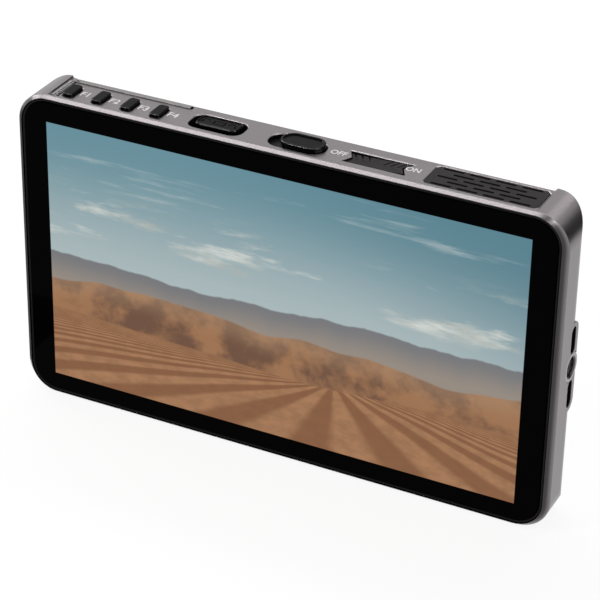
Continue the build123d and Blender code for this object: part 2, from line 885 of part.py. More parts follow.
with BuildPart() as key_board_screws:
    for x in key_post_xs:
        add(post(screw_head, x, key_row_depth, key_board_foot - screw_head_thick,
                 key_board_foot))
        add(post(screw_shank - 2 * screw_play, x, key_row_depth, key_board_foot,
                 roof_z - screw_play))
finish(key_board_screws, "key_board_screws")

menu_key_rake = tan(radians(menu_key_swing))
menu_tab_reach = menu_key_length / 2 + menu_key_gap + menu_key_tab
menu_pivot_z = roof_z - menu_key_tab_thick - menu_tab_reach * menu_key_rake - key_gap
switch_places = [(x, button_depth) for x in button_xs]
switch_places += [(menu_key_x + side * menu_switch_reach, key_row_depth) for side in (-1, 1)]
with BuildPart() as key_switches:
    for x, depth in switch_places:
        add(column(x - switch_side / 2, x + switch_side / 2, depth - switch_side / 2,
                   depth + switch_side / 2, key_board_top, switch_top - plunger_rise))
        add(post(plunger_diameter, x, depth, switch_top - plunger_rise, switch_top))
    # rib on which the menu key rocks
    add(column(menu_key_x - menu_key_foot, menu_key_x + menu_key_foot,
               key_row_depth - menu_key_web / 2, key_row_depth + menu_key_web / 2,
               key_board_top, menu_pivot_z - menu_key_foot - menu_key_seat_gap))
finish(key_switches, "key_switches")

# Function buttons: cap, neck, retaining flange and stem in one moulding
flange_middle = button_depth + (button_length - flange_length) / 2 + flange_shift
neck_top = roof_z + cap_float
for index, x in enumerate(button_xs):
    with BuildPart() as button:
        add(cushion(x, button_depth, button_width, button_length, button_corner, neck_top,
                    field_z + button_rise))
        fillet(button.faces().sort_by(Axis.Z)[-1].edges(), button_crown)
        add(column(x - neck_width / 2, x + neck_width / 2,
                   button_depth + neck_shift - neck_length / 2,
                   button_depth + neck_shift + neck_length / 2, roof_z - key_gap, neck_top))
        add(column(x - button_width / 2 - flange_reach, x + button_width / 2 + flange_reach,
                   flange_middle - flange_length / 2, flange_middle + flange_length / 2,
                   roof_z - key_gap - flange_thick, roof_z - key_gap))
        add(post(stem_diameter, x, button_depth,
                 roof_z - key_gap - flange_thick - stem_drop, roof_z - key_gap))
    finish(button, "button_f" + str(index + 1))

# Wide two-way key: dished cap, web with end tabs, rocking foot
menu_top = field_z + menu_key_rise
menu_dish = menu_top - menu_key_dish
menu_floor = roof_z + menu_key_length / 2 * menu_key_rake + menu_key_slack
menu_cap_x = menu_key_x + menu_cap_back / 2
menu_cap_length = menu_key_length - menu_cap_back
with BuildPart() as menu_key:
    add(cushion(menu_cap_x, key_row_depth, menu_cap_length, menu_key_width, menu_key_corner,
                menu_floor, menu_top))
    chamfer(menu_key.faces().sort_by(Axis.Z)[-1].edges(), menu_key_shoulder)
    add(column(menu_key_x - menu_key_arm, menu_key_x + menu_key_arm,
               key_row_depth - menu_key_web / 2, key_row_depth + menu_key_web / 2,
               menu_pivot_z, menu_floor))
    add(column(menu_key_x - menu_tab_reach, menu_key_x + menu_tab_reach,
               key_row_depth - menu_key_web / 2, key_row_depth + menu_key_web / 2,
               menu_pivot_z, menu_pivot_z + menu_key_tab_thick))
    add(rod(2 * menu_key_foot, menu_key_x, menu_pivot_z - mid_z,
            key_row_depth - menu_key_web / 2, key_row_depth + menu_key_web / 2))
    # dished top, so that a finger finds the key
    add(cushion(menu_cap_x, key_row_depth, menu_cap_length - 2 * menu_key_rim,
                menu_key_width - 2 * menu_key_rim, menu_key_corner - menu_key_rim,
                menu_dish, menu_top), mode=Mode.SUBTRACT)
    # turned arrows at both ends and a picture frame between them, sunk into the dish
    for side in (-1, 1):
        with BuildSketch(Plane.XY.offset(menu_dish)):
            with Locations((menu_cap_x + side * mark_reach, depth_y(key_row_depth))):
                Circle(mark_radius)
                Circle(mark_radius - mark_line, mode=Mode.SUBTRACT)
                Rectangle(2 * mark_radius, mark_radius, align=(Align.CENTER, Align.MAX),
                          mode=Mode.SUBTRACT)
            with Locations((menu_cap_x + side * (mark_reach + mark_radius - mark_line / 2),
                            depth_y(key_row_depth) - mark_line)):
                RegularPolygon(mark_arrow, 3, rotation=-90)
        extrude(amount=-mark_depth, mode=Mode.SUBTRACT)
    with BuildSketch(Plane.XY.offset(menu_dish)):
        with Locations((menu_cap_x, depth_y(key_row_depth))):
            Rectangle(frame_mark_width, frame_mark_height)
            Rectangle(frame_mark_width - 2 * mark_line, frame_mark_height - 2 * mark_line,
                      mode=Mode.SUBTRACT)
    extrude(amount=-mark_depth, mode=Mode.SUBTRACT)
finish(menu_key, "menu_key")

# Locking slider: dished thumb pad over a stem, retainer under the roof, tip in the switch
knob_foot = slider_z + key_gap
knob_top = field_z + slider_rise
knob_width = slider_well_width - 2 * slider_gap
retainer_top = roof_z - key_gap
retainer_foot = retainer_top - flange_thick
tip_foot = switch_top - stem_drop
with BuildPart() as lock_slider:
    add(pill(slider_rest, key_row_depth, slider_length, knob_width, knob_foot, knob_top))
    fillet(lock_slider.faces().sort_by(Axis.Z)[-1].edges(), slider_crown)
    add(pill(slider_rest, key_row_depth, slider_length - 2 * slider_rim,
             knob_width - 2 * slider_rim, knob_top - slider_dish, knob_top),
        mode=Mode.SUBTRACT)
    add(pill(slider_rest, key_row_depth, slider_stem, slider_stem_width, retainer_top,
             knob_foot))
    add(cushion(slider_rest, key_row_depth, slider_retainer, slider_stem_width + 2 * flange_reach,
                slider_retainer_corner, retainer_foot, retainer_top))
    add(column(slider_rest - slider_tip / 2, slider_rest + slider_tip / 2,
               key_row_depth - slider_tip / 2, key_row_depth + slider_tip / 2,
               tip_foot, retainer_foot))
finish(lock_slider, "lock_slider")

with BuildPart() as lock_switch:
    groove_left = slider_rest - slider_travel - slider_tip / 2 - slider_groove
    groove_right = slider_rest + slider_tip / 2 + slider_groove
    add(column(groove_left - lock_switch_wall, groove_right + lock_switch_wall,
               key_row_depth - slider_retainer / 2, key_row_depth + slider_retainer / 2,
               key_board_top, switch_top))
    add(column(groove_left, groove_right, key_row_depth - slider_tip / 2 - slider_groove,
               key_row_depth + slider_tip / 2 + slider_groove,
               tip_foot - slider_groove, switch_top), mode=Mode.SUBTRACT)
finish(lock_switch, "lock_switch")

# Pivot lug of the power rocker
with BuildPart() as rocker_lug:
    add(rod(2 * lug_reach, rocker_x, roof_z - pin_drop - mid_z, key_row_depth - lug_width / 2,
            key_row_depth + lug_width / 2))
    add(column(rocker_x - lug_reach, rocker_x + lug_reach, key_row_depth - lug_width / 2,
               key_row_depth + lug_width / 2, roof_z - pin_drop,
               roof_z + rocker_float + rocker_dish))
lug_part = rocker_lug.part
pin_hole = rod(pin_diameter + 2 * pin_fit, rocker_x, roof_z - pin_drop - mid_z,
               key_row_depth - lug_width / 2, key_row_depth + lug_width / 2)
cheek_outer = lug_width / 2 + key_gap + cheek_thick

# Power rocker, modelled with its OFF end down, its pin and the switch that carries the pin
rocker_pin_z = roof_z - pin_drop
rocker_plane = Plane(origin=(rocker_x, depth_y(key_row_depth), rocker_pin_z)).rotated(
    (0, rocker_tilt, 0))
rocker_floor = pin_drop + rocker_float
rocker_top = field_z - rocker_pin_z + rocker_rise
rocker_half = rocker_length / 2
rocker_side = rocker_width / 2
with BuildPart() as power_rocker:
    with BuildSketch(rocker_plane.offset(rocker_floor)):
        with BuildLine():
            Polyline(
                (-rocker_half, -rocker_side), (rocker_half, -rocker_side),
                (rocker_half - rocker_notch, 0), (rocker_half, rocker_side),
                (-rocker_half, rocker_side), (-rocker_half + rocker_notch, 0), close=True,
            )
        make_face()
    extrude(amount=rocker_top - rocker_floor)
    # shallow dish: the middle lies lower than the ends
    dish_plane = Plane(origin=rocker_plane.from_local_coords((0, rocker_side, 0)),
                       x_dir=rocker_plane.x_dir, z_dir=rocker_plane.y_dir)
    with BuildSketch(dish_plane):
        with BuildLine():
            Polyline((-rocker_half, -rocker_top), (0, -rocker_top + rocker_dish),
                     (rocker_half, -rocker_top), close=True)
        make_face()
    extrude(amount=-rocker_width, mode=Mode.SUBTRACT)
    # grip grooves across the rear half, at the slant of the notched ends
    for side in (-1, 1):
        for groove in range(grip_count):
            outer = rocker_half - grip_first - grip_pitch * groove
            inner = outer - grip_width
            crown = rocker_top - rocker_dish * (1 - outer / rocker_half)
            with BuildSketch(rocker_plane.offset(crown - grip_depth)):
                with BuildLine():
                    Polyline(
                        (side * (inner - rocker_notch), 0), (side * (outer - rocker_notch), 0),
                        (side * outer, rocker_side), (side * inner, rocker_side), close=True,
                    )
                make_face()
            extrude(amount=2 * grip_depth, mode=Mode.SUBTRACT)
    # lug on the pivot pin
    add(lug_part)
    add(pin_hole, mode=Mode.SUBTRACT)
finish(power_rocker, "power_rocker")

with BuildPart() as rocker_pin:
    add(rod(pin_diameter, rocker_x, rocker_pin_z - mid_z, key_row_depth - cheek_outer,
            key_row_depth + cheek_outer))
finish(rocker_pin, "rocker_pin")

with BuildPart() as rocker_switch:
    add(column(rocker_x - rocker_half + rocker_notch, rocker_x + rocker_half - rocker_notch,
               key_row_depth - cheek_outer, key_row_depth + cheek_outer, key_board_top,
               rocker_pin_z - lug_reach - key_gap))
    for side in (-1, 1):
        inner = key_row_depth + side * (lug_width / 2 + key_gap)
        outer = key_row_depth + side * cheek_outer
        add(column(rocker_x - cheek_length / 2, rocker_x + cheek_length / 2,
                   min(inner, outer), max(inner, outer), key_board_top, roof_z))
    add(rod(pin_diameter, rocker_x, rocker_pin_z - mid_z, key_row_depth - cheek_outer,
            key_row_depth + cheek_outer), mode=Mode.SUBTRACT)
finish(rocker_switch, "rocker_switch")

# Slotted grille over the speaker
with BuildPart() as speaker_grille:
    add(grille_blank(-key_gap, field_z - grille_thick, field_z - key_gap))
    with BuildSketch(Plane.XY.offset(field_z)):
        with Locations((grille_x, depth_y(grille_depth))):
            with Locations(*staggered(grille_columns, grille_rows, grille_slot_pitch,
                                      grille_row_pitch)):
                SlotOverall(grille_slot_length, grille_slot_width)
    extrude(amount=-grille_thick, mode=Mode.SUBTRACT)
finish(speaker_grille, "speaker_grille")

# Speaker box hung under the roof behind the grille, its cone showing through the mouth
speaker_front = stack_back + plate_clearance
with BuildPart() as speaker:
    add(column(grille_x - speaker_length / 2, grille_x + speaker_length / 2, speaker_front,
               speaker_front + speaker_depth, roof_z - speaker_height, roof_z))
    add(cushion(grille_x, speaker_front + speaker_depth / 2, speaker_length - 2 * speaker_rim,
                speaker_depth - 2 * speaker_rim, speaker_rim, roof_z - speaker_cone, roof_z),
        mode=Mode.SUBTRACT)
finish(speaker, "speaker")

# Thin rail along the back of the key field
with BuildPart() as hood_rail:
    add(column(rail_left, rail_right, rail_front, rail_rear, field_z - rail_sink,
               field_z + rail_rise))
finish(hood_rail, "hood_rail")


def thread_insert(name, flange, barrel, bore, mouth):
    """Steel insert with a flush flange and a countersunk blind bore."""
    with BuildPart() as insert:
        for solid in (flange, barrel):
            add(solid)
        for solid in (bore, mouth):
            add(solid, mode=Mode.SUBTRACT)
    finish(insert, name)


def countersink(plane, x, y):
    """Cone that opens the mouth of a thread, small end inwards."""
    with BuildPart() as cone:
        with BuildSketch(plane):
            with Locations((x, y)):
                Circle(thread_bore / 2 + thread_mouth)
        extrude(amount=-thread_mouth, taper=45)
    return cone.part


thread_insert(
    "side_thread_insert",
    edge_disc(side_x, insert_depth, 0, insert_flange, insert_flange_thick),
    edge_disc(side_x, insert_depth, 0, insert_barrel, thread_length),
    edge_disc(side_x, insert_depth, 0, thread_bore, thread_length - thread_end),
    countersink(at_side(side_x), depth_y(insert_depth), 0),
)
foot_plane = Plane(origin=(0, 0, 0), x_dir=(1, 0, 0), z_dir=(0, 0, -1))
thread_insert(
    "foot_thread_insert",
    post(insert_flange, 0, foot_insert_depth, 0, insert_flange_thick),
    post(insert_barrel, 0, foot_insert_depth, 0, thread_length),
    post(thread_bore, 0, foot_insert_depth, 0, thread_length - thread_end),
    countersink(foot_plane, 0, -depth_y(foot_insert_depth)),
)

# Ribbon from the backlight round the top of the chassis plate to the main board
with BuildPart() as display_ribbon:
    add(column(ribbon_x - ribbon_width / 2, ribbon_x + ribbon_width / 2, stack_back,
               stack_back + ribbon_thick, plate_top + plate_clearance, plate_top + ribbon_lap))
    add(column(ribbon_x - ribbon_width / 2, ribbon_x + ribbon_width / 2, stack_back,
               board_back + ribbon_thick, plate_top + plate_clearance,
               plate_top + plate_clearance + ribbon_thick))
    add(column(ribbon_x - ribbon_width / 2, ribbon_x + ribbon_width / 2, board_back,
               board_back + ribbon_thick, mid_z + board_top - ribbon_lap,
               plate_top + plate_clearance + ribbon_thick))
finish(display_ribbon, "display_ribbon")

# Finned heat sink on the chips, open under the fan
sink_back = chip_back + sink_base
fin_back = bay_inner - cover_gap - plate_clearance
fan_left = fan_x - fan_side / 2
fin_count = int((sink_height - sink_fin) / sink_fin_pitch) + 1
with BuildPart() as heat_sink:
    add(column(sink_left, sink_right, chip_back, sink_back, mid_z - sink_height / 2,
               mid_z + sink_height / 2))
    for fin in range(fin_count):
        z = mid_z + (fin - (fin_count - 1) / 2) * sink_fin_pitch
        add(column(sink_left, fan_left - fan_gap, sink_back, fin_back, z - sink_fin / 2,
                   z + sink_fin / 2))
    add(rod(fan_side - 2 * fan_wall, fan_x, 0, chip_back, sink_back), mode=Mode.SUBTRACT)
finish(heat_sink, "heat_sink")

# Fan: square frame with a three-armed bearing seat, and its rotor
fan_back = sink_back + fan_height
with BuildPart() as fan_housing:
    add(slab(fan_side, fan_side, 2 * fan_wall, sink_back, fan_back, x=fan_x))
    add(rod(fan_side - 2 * fan_wall, fan_x, 0, sink_back, fan_back), mode=Mode.SUBTRACT)
    with BuildSketch(at_depth(sink_back)):
        with Locations((fan_x, 0)):
            with PolarLocations(fan_side / 4, fan_arms, start_angle=90):
                Rectangle(fan_side / 2 - fan_wall / 2, fan_arm)
            Circle(fan_hub / 2 - fan_wall)
    extrude(amount=-fan_wall)
    add(rod(fan_pin, fan_x, 0, sink_back, sink_back + fan_wall), mode=Mode.SUBTRACT)
finish(fan_housing, "fan_housing")

rotor_front = sink_back + fan_wall + fan_gap
rotor_back = fan_back - fan_gap
blade_root = fan_hub / 2 - fan_wall
blade_reach = fan_side / 2 - fan_wall - fan_gap - blade_root
with BuildPart() as fan_rotor:
    add(rod(fan_hub, fan_x, 0, rotor_front, rotor_back))
    add(rod(fan_pin - 2 * fan_fit, fan_x, 0, sink_back, rotor_front))
    for blade in range(fan_blades):
        swing = Plane(origin=(fan_x, depth_y((rotor_front + rotor_back) / 2), mid_z),
                      x_dir=(0, 1, 0), z_dir=(0, 0, 1)).rotated(
                          (0, blade * 360 / fan_blades, 0))
        with BuildSketch(swing.offset(blade_root)):
            Rectangle(blade_chord, blade_thick, rotation=blade_pitch)
        extrude(amount=blade_reach)
finish(fan_rotor, "fan_rotor")

# Rear cover: flange in the housing, hump with vents, battery bay down its middle
hump_back = overall_depth
bay_left = bay_x - bay_width / 2
bay_right = bay_x + bay_width / 2
latch_z = -hump_half + latch_rise
screw_seat = body_depth - screw_head_thick
latch_hole_width = latch_width + 2 * latch_gap
latch_hole_height = latch_height + 2 * latch_gap
rim_hole_width = latch_hole_width + 2 * latch_rim
rim_hole_height = latch_hole_height + 2 * latch_rim
bay_screws_at = [(bay_x + side * bay_screw_x, z) for side in (-1, 1)
                 for z in (-bay_screw_z, bay_screw_z)]
vent_columns = int((fan_side - vent_slot_length) / vent_slot_pitch) + 1
vent_rows = int((fan_side - vent_slot_width) / vent_row_pitch) + 1
side_vent_room = hump_inner + bay_left - bay_wall - 2 * side_vent_margin
side_vent_columns = int((side_vent_room - side_vent_length) / side_vent_pitch) + 1
side_vent_rows = int((hump_height - 2 * side_vent_end - vent_slot_width) / vent_row_pitch) + 1
with BuildPart() as rear_cover:
    add(slab(hump_width, hump_height, hump_corner, cover_front, hump_back))
    chamfer(rear_cover.faces().sort_by(Axis.Y)[-1].edges(), hump_chamfer)
    add(slab(cover_width, cover_height, cover_corner, cover_front, body_depth))
    for left, right in ((-hump_inner, bay_left - bay_wall), (bay_right + bay_wall, hump_inner)):
        add(column(left, right, cover_front, hump_back - hump_wall,
                   mid_z - hump_half + hump_wall, mid_z + hump_half - hump_wall),
            mode=Mode.SUBTRACT)
    add(column(bay_left - bay_wall, bay_right + bay_wall, bay_inner, bay_outer,
               mid_z - hump_half, mid_z + hump_half))
    add(column(bay_left, bay_right, bay_outer, hump_back, mid_z - hump_half,
               mid_z + hump_half), mode=Mode.SUBTRACT)
    for middle, columns, rows, length, pitch in (
        (fan_x, vent_columns, vent_rows, vent_slot_length, vent_slot_pitch),
        ((bay_left - bay_wall - hump_inner) / 2, side_vent_columns, side_vent_rows,
         side_vent_length, side_vent_pitch),
    ):
        with BuildSketch(at_depth(hump_back - hump_wall)):
            with Locations((middle, 0)):
                with Locations(*staggered(columns, rows, pitch, vent_row_pitch)):
                    SlotOverall(length, vent_slot_width)
        extrude(amount=-hump_wall, mode=Mode.SUBTRACT)
    for x, z in cover_screws_at:
        add(rod(screw_shank + 2 * screw_play, x, z, cover_front, screw_seat),
            mode=Mode.SUBTRACT)
        add(rod(screw_head + 2 * screw_play, x, z, screw_seat, body_depth),
            mode=Mode.SUBTRACT)
    for x, z in bay_screws_at:
        add(rod(screw_shank, x, z, bay_inner, bay_outer), mode=Mode.SUBTRACT)
    # window behind the battery latch
    add(column(bay_x - rim_hole_width / 2, bay_x + rim_hole_width / 2, bay_inner, bay_outer,
               mid_z + latch_z - rim_hole_height / 2, mid_z + latch_z + rim_hole_height / 2),
        mode=Mode.SUBTRACT)
finish(rear_cover, "rear_cover")

screws("cover_screws", cover_screws_at, screw_seat, screw_head_thick,
       screw_seat - rear_inner)

# Battery plate: floor with guide rails, hooks at their edges and the contact block
bay_plate_back = bay_outer + battery_floor
rail_back = hump_back - bay_plate_gap
block_foot = mid_z + hump_half - contact_block_height
bay_screw_seat = bay_plate_back - bay_head_thick
with BuildPart() as battery_plate:
    add(column(bay_left + bay_plate_gap, bay_right - bay_plate_gap, bay_outer, bay_plate_back,
               mid_z - hump_half, mid_z + hump_half))
    for side in (-1, 1):
        inner = bay_x + side * battery_width / 2
        outer = bay_x + side * (bay_width / 2 - bay_plate_gap)
        hook = inner - side * hook_reach
        add(column(min(inner, outer), max(inner, outer), bay_plate_back, rail_back,
                   mid_z - hump_half, mid_z + hump_half))
        for place in range(hook_count):
            z = mid_z - hump_half + hook_first + hook_pitch * place
            add(column(min(hook, outer), max(hook, outer), rail_back - hook_thick, rail_back,
                       z - hook_length / 2, z + hook_length / 2))
    add(column(bay_x - battery_width / 2, bay_x + battery_width / 2, bay_plate_back,
               rail_back - hook_thick, block_foot, mid_z + hump_half))
    add(column(bay_x - latch_hole_width / 2, bay_x + latch_hole_width / 2, bay_outer,
               bay_plate_back, mid_z + latch_z - latch_hole_height / 2,
               mid_z + latch_z + latch_hole_height / 2), mode=Mode.SUBTRACT)
    for x, z in bay_screws_at:
        add(rod(screw_shank + 2 * screw_play, x, z, bay_outer, bay_screw_seat),
            mode=Mode.SUBTRACT)
        add(rod(screw_head + 2 * screw_play, x, z, bay_screw_seat, bay_plate_back),
            mode=Mode.SUBTRACT)
finish(battery_plate, "battery_plate")

screws("bay_screws", bay_screws_at, bay_screw_seat, bay_head_thick,
       bay_screw_seat - bay_inner - screw_play)

with BuildPart() as battery_contacts:
    blade_middle = (bay_plate_back + rail_back - hook_thick) / 2
    for place in (-1, 0, 1):
        x = bay_x + place * contact_pitch
        add(column(x - contact_blade / 2, x + contact_blade / 2, blade_middle - contact_deep / 2,
                   blade_middle + contact_deep / 2, block_foot - contact_reach, block_foot))
finish(battery_contacts, "battery_contacts")

# Release latch: thumb pad with a tooth, held behind the plate by its rim
latch_top = mid_z + latch_z + latch_height / 2
with BuildPart() as battery_latch:
    add(column(bay_x - latch_width / 2, bay_x + latch_width / 2, bay_outer - latch_gap / 2,
               bay_plate_back, latch_top - latch_height, latch_top))
    add(column(bay_x - latch_width / 2 - latch_rim, bay_x + latch_width / 2 + latch_rim,
               bay_outer - latch_gap / 2 - latch_rim, bay_outer - latch_gap / 2,
               latch_top - latch_height - latch_rim, latch_top + latch_rim))
    add(column(bay_x - latch_tooth_width / 2, bay_x + latch_tooth_width / 2, bay_plate_back,
               bay_plate_back + latch_tooth, latch_top - latch_tooth, latch_top))
    for rib in range(latch_ribs):
        z = latch_top - latch_height + latch_rib_pitch * (rib + 1)
        add(column(bay_x - latch_tooth_width / 2, bay_x + latch_tooth_width / 2, bay_plate_back,
                   bay_plate_back + latch_rib, z - latch_rib, z + latch_rib))
finish(battery_latch, "battery_latch")
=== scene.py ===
"""Six-inch camera field monitor: what each piece is made of and how it is finished.

Sizes are in millimetres: x to the right from the middle, z up from the floor, and depths back
from the front of the rim. Floor, lamps, cards and camera are in metres.
"""
import math

import bmesh
import bpy
from mathutils import Matrix, Vector


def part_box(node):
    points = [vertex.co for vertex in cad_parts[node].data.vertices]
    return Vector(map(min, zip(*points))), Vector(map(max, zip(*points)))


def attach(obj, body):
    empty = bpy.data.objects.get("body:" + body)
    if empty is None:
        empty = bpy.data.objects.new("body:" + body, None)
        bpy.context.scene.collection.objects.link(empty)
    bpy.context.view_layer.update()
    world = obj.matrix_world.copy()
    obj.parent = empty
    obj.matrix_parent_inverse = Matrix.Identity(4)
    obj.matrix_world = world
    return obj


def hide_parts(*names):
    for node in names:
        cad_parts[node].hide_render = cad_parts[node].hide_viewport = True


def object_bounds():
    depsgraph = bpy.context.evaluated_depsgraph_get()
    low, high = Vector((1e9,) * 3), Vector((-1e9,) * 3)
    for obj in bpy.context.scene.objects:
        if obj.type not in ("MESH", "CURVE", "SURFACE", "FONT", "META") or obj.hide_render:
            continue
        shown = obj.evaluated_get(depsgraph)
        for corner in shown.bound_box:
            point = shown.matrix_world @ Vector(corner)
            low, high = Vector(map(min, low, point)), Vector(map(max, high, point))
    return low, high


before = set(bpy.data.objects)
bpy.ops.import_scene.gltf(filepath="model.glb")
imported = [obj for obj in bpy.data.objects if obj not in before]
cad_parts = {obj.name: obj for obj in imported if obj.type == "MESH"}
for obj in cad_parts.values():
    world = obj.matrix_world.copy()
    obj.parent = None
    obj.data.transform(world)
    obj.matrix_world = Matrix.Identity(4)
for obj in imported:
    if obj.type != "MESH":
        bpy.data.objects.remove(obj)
cad_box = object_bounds()

# ---------------------------------------------------------------- housing
# One block of aluminium, milled, bead-blasted and anodised a warm dark grey. The rim round the
# glass is cut afterwards, so it is smoother; its darker paint is painted shade. At its two ends
# the rim runs from painted shade at the inner edge to a painted highlight at the outer edge.
# Key wells, the rail's notch and the mounting slots are painted black as the shade in them;
# the wells' painted shade has no lower limit in height, so it also blackens the foot's flat.
MM = 0.001
PAINT_BLUR = 0.05
NOISE_LOW = 0.3
NOISE_HIGH = 0.7
CLOUD_PER_MM = 0.12
GRAIN_PER_MM = 4.0
GRAIN_DEEP = 0.012
RIM_GRAIN_PER_MM = 4.5
RIM_RUN = 1.4
RIM_ROUGH = 0.28
RIM_GRAIN_LOW = 0.35
RIM_GRAIN_HIGH = 0.65
HOUSING_EDGE = 0.22
# The rim's ends carry painted shade inside and a painted highlight outside: where it starts, and
# where across it fades in
RIM_LIGHT_START = 0.35
RIM_LIGHT_FROM = 68.0
RIM_LIGHT_TO = 73.4
WELLS_FRONT = 2.4
WELLS_BACK = 12.7
WELLS_REACH = 64.6
WELLS_TOP = 87.05
NOTCH_LEFT = -31.8
NOTCH_RIGHT = -31.1
NOTCH_FRONT = 12.6
NOTCH_BACK = 14.5
NOTCH_FOOT = 80.05
NOTCH_TOP = 87.2
SLOT_SKIN = 0.12
SLOT_FLOOR = 1.9
SLOT_REACH = 13.0
SLOTS_FRONT = 7.3
SLOTS_BACK = 11.5

front = cad_box[0].y / MM


def paint(red, green, blue):
    """Linear colour of a paint given in the 0 to 255 steps of a screen's colour chart."""
    def linear(step):
        share = step / 255
        return share / 12.92 if share <= 0.04045 else ((share + 0.055) / 1.055) ** 2.4
    return (linear(red), linear(green), linear(blue), 1.0)


class Wire:
    """A value on its way through a material; Python's operators add the nodes."""

    def __init__(self, finish, socket):
        self.finish = finish
        self.socket = socket

    def maths(self, operation, other):
        return self.finish.node("ShaderNodeMath", dict(operation=operation), {0: self, 1: other})

    def __add__(self, other):
        return self.maths("ADD", other)

    def __radd__(self, other):
        return self.maths("ADD", other)

    def __sub__(self, other):
        return self.maths("SUBTRACT", other)

    def __rsub__(self, other):
        return self.finish.node("ShaderNodeMath", dict(operation="SUBTRACT"), {0: other, 1: self})

    def __mul__(self, other):
        return self.maths("MULTIPLY", other)

    def __rmul__(self, other):
        return self.maths("MULTIPLY", other)

    def __truediv__(self, other):
        return self.maths("DIVIDE", other)

    def __pow__(self, other):
        return self.maths("POWER", other)

    def __mod__(self, other):
        return self.maths("FLOORED_MODULO", other)


class Finish:
    """A material in the making. node() adds any node, and surface() sets the closing shader."""

    def __init__(self, name):
        self.material = bpy.data.materials.new(name)
        self.material.use_nodes = True
        self.tree = self.material.node_tree
        self.tree.nodes.clear()
        self.shader = self.tree.nodes.new("ShaderNodeBsdfPrincipled")
        self.ending = self.tree.nodes.new("ShaderNodeOutputMaterial").inputs["Surface"]
        self.tree.links.new(self.shader.outputs[0], self.ending)

    def plug(self, socket, value):
        if isinstance(value, Wire):
            self.tree.links.new(value.socket, socket)
        else:
            socket.default_value = value

    def node(self, kind, settings=None, sockets=None, output=0):
        made = self.tree.nodes.new(kind)
        for name, value in (settings or {}).items():
            setattr(made, name, value)
        for name, value in (sockets or {}).items():
            self.plug(made.inputs[name], value)
        return Wire(self, made.outputs[output])

    def place(self):
        """Where a point lies in the monitor's frame, in millimetres."""
        here = self.node("ShaderNodeTexCoord", output="Object")
        return self.node("ShaderNodeVectorMath", dict(operation="SCALE"),
                         {0: here, "Scale": 1 / MM})

    def split(self, vector):
        made = self.node("ShaderNodeSeparateXYZ", None, {0: vector})
        node = made.socket.node
        return [Wire(self, node.outputs[axis]) for axis in range(3)]

    def join(self, x, y, z):
        return self.node("ShaderNodeCombineXYZ", None, {0: x, 1: y, 2: z})

    def noise(self, vector, per_unit=1.0, detail=2.0, rough=0.5):
        return self.node("ShaderNodeTexNoise", None, {
            "Vector": vector, "Scale": per_unit, "Detail": detail, "Roughness": rough})

    def step(self, value, low, high, start=0.0, end=1.0):
        """Smooth rise from start to end while value goes from low to high."""
        return self.node("ShaderNodeMapRange", dict(interpolation_type="SMOOTHSTEP"), {
            "Value": value, "From Min": low, "From Max": high, "To Min": start, "To Max": end})

    def over(self, value, level, blur=PAINT_BLUR):
        """1 where value is over a level and 0 where it is under, with a narrow soft border."""
        return self.step(value, level - blur, level + blur)

    def between(self, value, low, high, blur=PAINT_BLUR):
        """1 where value lies between two levels and 0 elsewhere."""
        return self.over(value, low, blur) * (1 - self.over(value, high, blur))

    def spread(self, noise, start=0.0, end=1.0):
        """The middle range of a noise, where most of it lies, spread over start to end."""
        return self.step(noise, NOISE_LOW, NOISE_HIGH, start, end)

    def larger(self, first, second):
        return self.node("ShaderNodeMath", dict(operation="MAXIMUM"), {0: first, 1: second})

    def mix(self, share, first, second):
        """Colour that goes from first to second as share goes from 0 to 1."""
        return self.node("ShaderNodeMix", dict(data_type="RGBA"), {
            "Factor": share, 6: first, 7: second}, output=2)

    def bump(self, height, deep_mm, under=None):
        sockets = {"Height": height, "Distance": deep_mm * MM, "Strength": 1.0}
        if under:
            sockets["Normal"] = under
        return self.node("ShaderNodeBump", None, sockets)

    def soft_edges(self, radius_mm):
        """Normal that rounds every sharp edge a little, as tumbling and coating do."""
        return self.node("ShaderNodeBevel", dict(samples=6), {"Radius": radius_mm * MM})

    def surface(self, **values):
        for name, value in values.items():
            self.plug(self.shader.inputs[name.replace("_", " ")], value)
        return self.material


def dress(material, *nodes):
    """Give carried-over pieces their finish."""
    for node in nodes:
        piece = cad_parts[node]
        piece.data.materials.clear()
        piece.data.materials.append(material)


def body_middle():
    """Height of the middle of the housing, where the side socket sits."""
    low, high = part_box("display_panel")
    return (low.z + high.z) / 2 / MM


